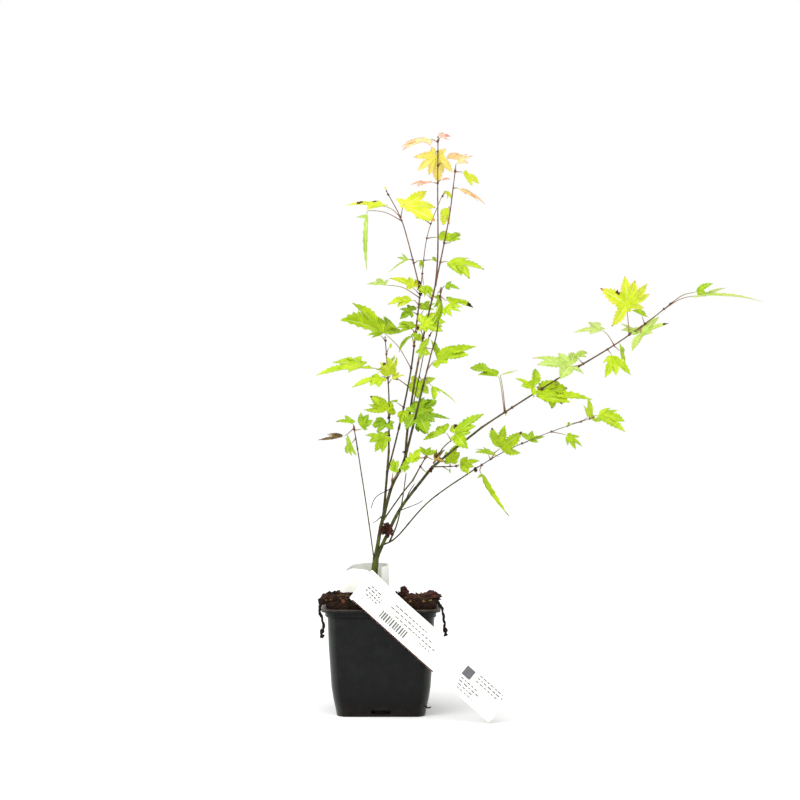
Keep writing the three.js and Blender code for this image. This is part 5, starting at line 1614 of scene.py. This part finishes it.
# %% Crumbs and fibres
CRUMBS, FIBRES = 900, 420
CRUMB_MIX, FIBRE_MIX, BROWN_CHUNKS = [0.55, 0.9, 0.985], [0.3, 0.6, 0.75, 0.85], 0.3
CRUMB = {"least": 0.5, "more": 1.5, "rare": 2.5, "shape": (1.2, 1, 0.75), "up": 0.25}
CHUNK = {"shape": (1, 0.8, 0.9), "up": 0.3}
FIBRE = {"thin": [0.1, 0.16], "long": [0.7, 1.6], "up": 0.6, "bends": (0.6, 0.7, -0.4, -0.9)}
CHUNKS = [
    ((-43, -35), 3.8), ((-42, -31), 4), ((-41, -26), 3.6), ((-38, -38), 2.6), ((-31, -39), 2.2),
    ((41, -33), 2.6), ((38, -39.5), 2.2), ((-19, -39.5), 2), ((5, -38.5), 1.9), ((12, -39), 2.4),
    ((-40, 20), 3), ((40, 26), 2.8), ((-8, 39), 2.6),
    ((-41.6, -34), 5),
]
STREW = 41.5
AT_FRONT = {"often": 0.35, "deep": 0.16}


def scatter_spot(row):
    """A place on the compost, thicker towards the edge that shows above the rim."""
    x, y = (1 - 2 * next(row)) * STREW, (1 - 2 * next(row)) * STREW
    if next(row) < AT_FRONT["often"]:
        y = -STREW + abs(y) * AT_FRONT["deep"]
    far = squarely(x, y)
    if far > STREW:
        x, y = x * STREW / far, y * STREW / far
    return np.array([x, y, mound_height(x, y)])


def copies(name, base, matrices, picks, materials, replaced):
    """One small mesh copied to many places as arrays, each copy in one of the materials."""
    points = np.array([v.co for v in base.verts])
    faces = [[v.index for v in f.verts] for f in base.faces]
    base.free()
    every, rings, slots = [], [], []
    for n, ((turn, move), pick) in enumerate(zip(matrices, picks)):
        every.append(points @ turn.T + move)
        rings += [[i + n * len(points) for i in ring] for ring in faces]
        slots += [pick] * len(faces)
    settle(from_arrays(name, np.vstack(every), rings, slots, materials), replaced)


def turned(row, size):
    """A random turn with a size along each axis, as a 3 by 3 matrix."""
    spin = Matrix.Rotation(FULL_TURN * next(row), 3, "Z") @ Matrix.Rotation(2.4 * (next(row) - 0.5), 3, "X")
    return np.array(spin) @ np.diag(size)


def strewn_finish(name, dark, light):
    """A rough finish that is streaked from a dark colour to a light one."""
    finish = Finish(name, 0.9)
    grain = finish.group(streaks, Scale=1600, Stretch=(1, 1, 0.5))
    finish.colour(finish.ramp(grain["Streak"], (0.32, dark), (0.66, light)))
    finish.bump(grain["Streak"], strength=0.6, distance=0.0006)
    return finish.material


crumb_finishes = [
    strewn_finish("crumb_dark", "#0e0906", "#261810"), strewn_finish("crumb_brown", "#20130c", "#422b1a"),
    strewn_finish("crumb_red", "#40200f", "#75432a"), strewn_finish("crumb_gold", "#6e4c24", "#a37a42"),
    strewn_finish("crumb_straw", "#5c5a26", "#928a44"),
]
row = seeded(41)
base = bmesh.new()
bmesh.ops.create_icosphere(base, subdivisions=1, radius=1)
for v in base.verts:
    v.co *= 0.75 + 0.5 * next(row)
matrices, picks = [], []
for _ in range(CRUMBS):
    spot = scatter_spot(row)
    size = CRUMB["least"] + CRUMB["more"] * next(row) ** CRUMB["rare"]
    shape = [size * part for part in CRUMB["shape"]]
    matrices.append((turned(row, shape), spot + [0, 0, size * CRUMB["up"]]))
    picks.append(int(np.searchsorted(CRUMB_MIX, next(row))))
for place, size in CHUNKS:
    spot = np.array([*place, mound_height(*place)])
    shape = [size * part for part in CHUNK["shape"]]
    matrices.append((turned(row, shape), spot + [0, 0, size * CHUNK["up"]]))
    picks.append(int(next(row) < BROWN_CHUNKS))
copies("crumbs", base, matrices, picks, crumb_finishes, ["compost"])

base = bmesh.new()
ring = bmesh.ops.create_circle(base, cap_ends=True, segments=4, radius=1)["verts"]
edges = list({e for v in ring for e in v.link_edges})
for aside in FIBRE["bends"]:
    verts, edges = next_ring(base, edges)
    bmesh.ops.translate(base, vec=(aside, 0.3 * aside, 1), verts=verts)
bmesh.ops.contextual_create(base, geom=edges)
bmesh.ops.translate(base, vec=(0, 0, -2), verts=base.verts)
bmesh.ops.rotate(base, matrix=Matrix.Rotation(radians(90), 3, "Y"), verts=base.verts)
face_out(base)
matrices, picks = [], []
for _ in range(FIBRES):
    spot = scatter_spot(row)
    thin, long = draw(row, FIBRE["thin"]), draw(row, FIBRE["long"])
    spin = Matrix.Rotation(FULL_TURN * next(row), 3, "Z") @ Matrix.Rotation(0.9 * (next(row) - 0.5), 3, "Y")
    matrices.append((np.array(spin) @ np.diag([long, thin * 2, thin * 2]), spot + [0, 0, FIBRE["up"]]))
    picks.append(int(np.searchsorted(FIBRE_MIX, next(row))))
copies("fibres", base, matrices, picks, crumb_finishes, ["compost"])

# %% [markdown]
# ## Bark chips
#
# Two chips of pine bark lie on the compost: a flat slab at the right and a small pointed one beside the
# tag. Bark splits in layers, so a block is cut into slices, each slice is shifted and shrunk a little by
# noise, and the finish draws its layers as fine bands.

# %% Chips
CHIPS = {
    "bark_chip_large": {"size": [26.5, 17, 6.8], "at": [32, -26, 89.2], "turn": 8, "tilt": -2},
    "bark_chip_small": {"size": [5.4, 5.2, 10.8], "at": [18, -25, 91.2], "turn": 30, "tilt": -20},
}
CHIP_CUTS = 14
LAYERS, SHIFT, RAGGED, ROUGH, WAVY = 6, 0.22, 0.3, 0.35, 0.05
NARROWER = {"thin_ends": 0.3, "faces": 0.35, "ends": 0.22, "long_faces": 0.1}
KNOB = {"at": 0.27, "wide": 0.13, "low": 0.5, "high": 0.75}


def chip_mesh(chip, seed):
    """A split slab of bark in millimetres."""
    bm = new_stock()
    bmesh.ops.create_cube(bm, size=1)
    bmesh.ops.subdivide_edges(bm, edges=bm.edges[:], cuts=CHIP_CUTS, use_grid_fill=True)
    long, wide, high = chip["size"]
    for v in bm.verts:
        x, y, z = v.co
        rim = 1 - NARROWER["thin_ends"] * abs(2 * x) ** 3
        side = 1 - NARROWER["faces"] * abs(2 * z) ** 2 - NARROWER["ends"] * abs(2 * x) ** 2
        jag = lump(x * 3 + seed, y * 3, round(z * LAYERS) * 0.9)
        fine = lump(x * 9, y * 9 + seed, z * 14)
        v.co.x = x * (1 + SHIFT * jag - NARROWER["long_faces"] * abs(2 * z))
        v.co.y = y * side * (1 + RAGGED * jag) + WAVY * fine
        # Only the large chip has a knob on its upper face
        knob = KNOB["low"] + KNOB["high"] * exp(-(((x - KNOB["at"]) / KNOB["wide"]) ** 2))
        lift = knob if seed == 0 and z > 0 else 1
        v.co.z = z * rim * lift * (1 + ROUGH * fine) + WAVY * lump(x * 2, y * 2, seed)
    bmesh.ops.scale(bm, vec=(long, wide, high), verts=bm.verts)
    bmesh.ops.rotate(bm, matrix=Matrix.Rotation(radians(chip["tilt"]), 3, "Y"), verts=bm.verts)
    bmesh.ops.rotate(bm, matrix=Matrix.Rotation(radians(chip["turn"]), 3, "Z"), verts=bm.verts)
    bmesh.ops.translate(bm, vec=chip["at"], verts=bm.verts)
    face_out(bm)
    return bm


chip_finish = Finish("pine_bark", 0.85)
layers = chip_finish.group(streaks, Scale=520, Stretch=(0.35, 0.35, 2.2))
chip_colour = chip_finish.ramp(layers["Streak"], (0.3, "#1b0f0b"), (0.5, "#40231a"), (0.7, "#6e4332"))
chip_tone = chip_finish.ramp(layers["Blotch"], (0.38, (0.55, 0.5, 0.5)), (0.62, (1.15, 1.1, 1.05)))
chip_finish.colour(chip_finish.blend(0.9, chip_colour, chip_tone, "MULTIPLY"))
chip_finish.bump(layers["Streak"], strength=0.8, distance=0.0015)
for seed, (name, chip) in enumerate(CHIPS.items()):
    finish_piece(chip_mesh(chip, seed * 5.3), name.replace("bark_chip", "bark_slab"), [name],
                 [chip_finish.material], angle=40)

# %% [markdown]
# ## The strip tag
#
# The tag is a strip of thin ivory film, looped round the foot of the stem so that its printed end hangs
# over the rim. Its long end is a flat grid bent by the rule of the solid: it leans out over the lip and
# falls back under it. Solidify gives the film its thickness. What would be printed on such a tag is left
# out, and plain bars and blocks stand in for it, as thin skins a little above the film.

# %% The tag's long end
TAG = {"from": -69.5, "to": 66, "wide": 25, "slope": -41, "at": (37.4, 53.9), "clear": 0.9, "thick": 0.34,
       "ripple": (0.25, 0.09)}
OVER_LIP, UNDER_LIP = {"from": 8, "lean": 1.25, "soft": 4}, {"lean": 0.24, "soft": 30}


def tag_point(x, y, out=0.0):
    """A point of the flat tag, x along it and y up across it, as it hangs, in millimetres."""
    slope = radians(TAG["slope"])
    across = TAG["at"][0] + x * cos(slope) - y * sin(slope)
    high = TAG["at"][1] + x * sin(slope) + y * cos(slope)
    over = high - POT_HIGH - OVER_LIP["from"]
    over = (over + sqrt(over**2 + OVER_LIP["soft"])) / 2
    under = POT_HIGH - high
    under = (under + sqrt(under**2 + UNDER_LIP["soft"])) / 2
    ripple = TAG["ripple"][0] * sin(x * TAG["ripple"][1])
    lean = over * OVER_LIP["lean"] - under * UNDER_LIP["lean"]
    return Vector((across, -(RIM + TAG["clear"]) + lean + ripple - out, high))


def tag_patch(bm, x, y, wide, high, out, thick, slot=0, step=3.0, soft=0.0):
    """A rectangle of film on the tag, from its middle, bent with it and given a thickness."""
    made = bmesh.new()
    grid = bmesh.ops.create_grid(made, x_segments=max(1, round(wide / step)),
                                 y_segments=max(1, round(high / step)), size=0.5)["verts"]
    bmesh.ops.scale(made, vec=(wide, high, 1), verts=grid)
    if soft:
        corners = [v for v in made.verts if len(v.link_edges) == 2]
        bmesh.ops.bevel(made, geom=corners, affect="VERTICES", offset=soft, segments=4, profile=0.5,
                        material=-1)
    for v in made.verts:
        v.co = tag_point(v.co.x + x, v.co.y + y, out)
    face_out(made)
    bmesh.ops.solidify(made, geom=made.faces[:], thickness=thick)
    face_out(made)
    gather(bm, made, slot)


film = Finish("ivory_film", 0.32, 0.5)
film_tone = film.group(streaks, Scale=160, Stretch=(1, 1, 1))
film.colour(film.ramp(film_tone["Streak"], (0.35, "#f8f9ee"), (0.65, "#fefef8")))
film.bump(film_tone["Blotch"], strength=0.1, distance=0.0006)
ink = strewn_finish("grey_ink", "#5c5c60", "#76767a")
red_ink = strewn_finish("red_ink", "#3c0a0e", "#561216")

bm = new_stock()
tag_patch(bm, (TAG["from"] + TAG["to"]) / 2, 0, TAG["to"] - TAG["from"], TAG["wide"], 0, TAG["thick"], 0,
          step=2.5, soft=0.6)
finish_piece(bm, "tag_strip", ["tag"], [film.material], angle=40)

# %% [markdown]
# The stand-ins for the print are a short block of rules near the loop, a row of bars, two lines of rules
# along the middle, and a plain square with rules beside it near the free end. A dark red line runs along
# the lower edge.

# %% Plain bars on the tag
PRINT_OUT, PRINT_THICK = 0.3, 0.05
bm = new_stock()


def rule(x, y, long, high, slot=0):
    """A printed rule, from its left end."""
    tag_patch(bm, x + long / 2, y, long, high, PRINT_OUT, PRINT_THICK, slot, step=4)


PRINT = [  # height on the tag, start and end, longest word, thickness
    (4.2, -62, -53, 3, 0.8), (2.0, -64, -50, 3, 0.9), (-0.2, -64, -49, 3, 0.9), (-2.4, -62, -50, 3, 0.8),
    (6.2, -40, -9, 3.6, 0.7), (3.0, -42, -1, 3.6, 0.7), (-0.2, -35, 3, 3.6, 0.7), (-3.2, -9, 1, 2.6, 0.6),
    (8.6, 40, 62, 3.4, 0.7), (6.2, 40, 64, 3.4, 0.8), (3.8, 40, 60, 3.4, 0.7), (-1.2, 30, 46, 3.4, 0.7),
    (-3.6, 30, 48, 3.4, 0.8), (-6.0, 31, 44, 3.4, 0.7), (-8.4, 32, 46, 3, 0.6),
]
BARCODE = {"from": -44, "to": -20, "y": -5.6, "high": 5.8, "thick": [0.5, 0.9], "gap": [0.7, 0.9]}
WORD, WORD_GAP = [0.35, 0.65], [0.8, 0.8]
SQUARE, RED_LINE = (32, 4.6, 7.4, 7.4), (-67, -12.1, 79, 0.7)
row = seeded(61)
for line_y, first, last, word, high in PRINT:
    x = first
    while x < last:
        long = word * draw(row, WORD)
        rule(x, line_y, min(long, last - x), high)
        x += long + draw(row, WORD_GAP)
x = BARCODE["from"]
while x < BARCODE["to"]:
    thick = draw(row, BARCODE["thick"])
    tag_patch(bm, x, BARCODE["y"], thick, BARCODE["high"], PRINT_OUT, PRINT_THICK, 0, step=6)
    x += thick + draw(row, BARCODE["gap"])
tag_patch(bm, *SQUARE, PRINT_OUT, PRINT_THICK, 0, step=3)
rule(*RED_LINE, 1)
finish_piece(bm, "tag_bars", ["tag"], [ink, red_ink], angle=60)

# %% [markdown]
# The other end of the tag is a band that stands on its edge and runs from the strip round the stem. Its
# middle line follows that of the solid, and the band is a grid bent round it, a little wavy at its upper
# edge.

# %% The loop round the stem
LOOP = {
    "high": 19.6, "low": 91, "taper": 0.12, "tilt": 0.16, "round": 6, "thick": 0.34, "wave": (0.35, 17),
    "plan": [[-8.5, -24, 0], [-12, -16, 0], [-21, -11, 0], [-27, -9, 0], [-29, -5, 0], [-20, 4, 0],
             [-6, 9, 0], [4, 6, 0], [5, -2, 0], [0, -6, 0]],
}
loop_line = Line(LOOP["plan"])
bm = new_stock()
grid = bmesh.ops.create_grid(bm, x_segments=90, y_segments=10, size=0.5)["verts"]
for v in grid:
    share, y = min(1, max(0, v.co.x + 0.5)), v.co.y
    spot = loop_line.at(share) * (1 - LOOP["taper"] * y)
    wave = LOOP["wave"][0] * sin(share * LOOP["wave"][1]) * (y + 0.5)
    rise = LOOP["tilt"] * spot[1] * (y + 0.5)
    rise -= LOOP["round"] * (y + 0.5) * max(0, -spot[0] / 10 - 2) ** 2
    v.co = (spot[0], spot[1] + wave, LOOP["low"] + LOOP["high"] * (y + 0.5) + rise)
face_out(bm)
bmesh.ops.solidify(bm, geom=bm.faces[:], thickness=LOOP["thick"])
face_out(bm)
finish_piece(bm, "tag_band", ["tag_loop"], [film.material], angle=40)

# %% [markdown]
# ## Dead bits
#
# Two dried roots with side roots hang over the rim, the tip of a third pokes out near the foot, and four
# short dead twigs stick out of the stems. All are tubes like the stems, thin and kinked, and the roots have
# knots.

# %% Roots and dead twigs
dead_finish = bark("dead_wood", [(0, "#1e1410"), (0.4, "#2a1a14"), (1, "#3a241a")], "#140d0a", 0.85)
STRANDS = {
    "root_strand_left": [[-41.7, -31, 86.5], [-45.2, -32, 82.6], [-45.8, -32.4, 79], [-43.6, -33, 72],
                         [-42.8, -33, 66.4], [-44.6, -33, 62.6], [-42.8, -33, 59.6]],
    "root_strand_right": [[41.7, -31, 86.5], [44.6, -32, 82.6], [46, -32.6, 79.2], [47, -33, 72.6],
                          [47.6, -33, 66], [48.8, -33, 60.6]],
}
SIDE_ROOTS = [
    ("root_strand_left", 0.6, [-1.6, -0.4, -5]), ("root_strand_left", 0.82, [-2.4, -0.3, -2.5]),
    ("root_strand_left", 0.9, [1.6, -0.3, -4]), ("root_strand_right", 0.55, [1.8, -0.3, -4]),
    ("root_strand_right", 0.8, [-1.6, -0.2, -3.5]),
]
STRAND = {"thick": 1.2, "taper": 0.3, "kink": 0.25, "kinks": 31, "lumpy": 0.6, "rings": 40}
KNOT_HIGH, KNOTS = 0.8, [(0.84, 0.05), (0.97, 0.04)]
SIDE_RINGS = 10
root_stock = new_stock()


def short_root(points, foot, tip, rough):
    """A root of a few rings that gets thinner towards its tip."""
    spots = Line(points).places(np.linspace(0, 1, SIDE_RINGS))
    radii = np.linspace(foot, tip, SIDE_RINGS)
    gather(root_stock, tube(spots, radii, np.zeros(SIDE_RINGS), sides=6, rough=rough))


for name, points in STRANDS.items():
    line = Line(points)
    share = np.linspace(0, 1, STRAND["rings"])
    spots = line.places(share)
    spots[:, 0] += STRAND["kink"] * np.sin(share * STRAND["kinks"])
    lumps = 1 + STRAND["lumpy"] * np.array([noise.noise(Vector(s) * 0.6) for s in spots])
    knots = sum(KNOT_HIGH * np.exp(-((share - at) / long) ** 2) for at, long in KNOTS)
    radii = (STRAND["thick"] - STRAND["taper"] * share) * lumps + knots
    gather(root_stock, tube(spots, radii, share * 0, sides=8, rough=0.15))
for name, share, way in SIDE_ROOTS:
    foot = Line(STRANDS[name]).at(share)
    points = [foot, foot + np.array(way) * 0.5 + [0.3, 0, 0], foot + np.array(way)]
    short_root(points, foot=0.32, tip=0.12, rough=0.1)
short_root([[33.4, -30, 7.6], [35.2, -31, 6.6], [37.4, -31.4, 7.2]], foot=0.8, tip=0.5, rough=0.2)
finish_piece(root_stock, "dry_roots", list(STRANDS), [dead_finish])

twig_stock = limbs_stock(DEAD, sides=8, rough=0.1)
small_twig = stem(0.4, 0.25, [-1, -3, 147], [-4, -5, 144.5], [-7, -6, 143])
gather(twig_stock, limb_tube("small_twig", small_twig, Line(small_twig["line"]), [], sides=6, rough=0.1))
finish_piece(twig_stock, "dead_twigs", DEAD, [dead_finish])


# %% [markdown]
# A withered clump of leaves is caught between the two main stems, and smaller dark knots sit where leaves
# died off at forks and nodes. Each is a crumpled core, a sphere pushed in and out by noise, with small
# curled blades stuck in it.

# %% The withered clump and the dark knots
CLUMPS = {
    "withered_clump": {"nodes": ["dry_clump"], "fine": 5, "hearts": [([3.6, -4.4, 138], 3.4, 16)]},
    "dark_knots": {"nodes": MASSES, "fine": 3, "hearts": [
        (lines[name].at(share) + [0, -1, 0], size, 4) for name, share, size in (
            ("upper_left", 0.02, 1.3), ("inner_shoot", 0.98, 1.2), ("low_bough", 0.99, 1.3),
            ("rear_shoot", 0.3, 1), ("centre_bough", 0.05, 1.3), ("right_bough", 0.97, 1.4),
            ("right_twig", 0.2, 1.3))]},
}
CORE = np.array([1, 0.72, 1.15])
CRUMPLED = {"least": 0.72, "ridges": 0.75, "fine": 0.16}
BLADE_LONG, BLADE_CURL, BLADE_OUT = [1.3, 0.8], [1.6, 1.6], 0.45


def withered_core(bm, place, size, fine):
    """A crumpled ball in millimetres."""
    verts = bmesh.ops.create_icosphere(bm, subdivisions=fine, radius=1)["verts"]
    for v in verts:
        ridge = abs(noise.noise(v.co * 2.3 + Vector(place)))
        v.co *= CRUMPLED["least"] + CRUMPLED["ridges"] * ridge + CRUMPLED["fine"] * noise.noise(v.co * 6)
    bmesh.ops.scale(bm, vec=CORE * size, verts=verts)
    bmesh.ops.translate(bm, vec=place, verts=verts)


def withered_blade(stock, row, place, size):
    """A small dead blade, curled up, that sticks out of a core."""
    rib, side, face = leaf_frame(360 * next(row), 120 * (next(row) - 0.5), 90 * next(row))
    turns = [radians(turn) for turn in (-60, -15, 30)]
    long = size * draw(row, BLADE_LONG)
    curls = [draw(row, BLADE_CURL) for _ in turns]
    reaches, droops, fats, sways, twists = [0.8, 1, 0.85], [0.4] * 3, [1.3] * 3, [0.2] * 3, [0.8] * 3
    grids = leaf_grids(turns, reaches, droops, fats, 1, 0.6, curls, sways, twists)
    points = patterns[3].weld(grids) @ np.array([rib, side, face]) * long
    colours = np.full(len(patterns[3].faces), int(4 * next(row)))
    stock.add_blade(place + rib * CORE * size * BLADE_OUT + points, patterns[3], colours)


withered = strewn_finish("withered", "#200e0a", "#4c241a")
row = seeded(83)
for name, clump in CLUMPS.items():
    bm, blades = new_stock(), Stock()
    for place, size, count in clump["hearts"]:
        withered_core(bm, np.array(place), size, clump["fine"])
        for _ in range(count):
            withered_blade(blades, row, np.array(place), size)
    finish_piece(bm, name, clump["nodes"], [withered], angle=40)
    blades.make(name + "_blades", "dead_wood", "dead", clump["nodes"])

# %% [markdown]
# ## The finished plant
#
# The box of the solids and the box of the visual model are both printed. The visual model may
# reach only a little past the solids' box.

# %% Sizes
boxes = {"cad": CAD_BOX, "visual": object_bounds()}
plain_boxes = {name: [[float(v) for v in corner] for corner in box] for name, box in boxes.items()}
for name, box in plain_boxes.items():
    print(name, [[round(v / MM, 1) for v in corner] for corner in box])
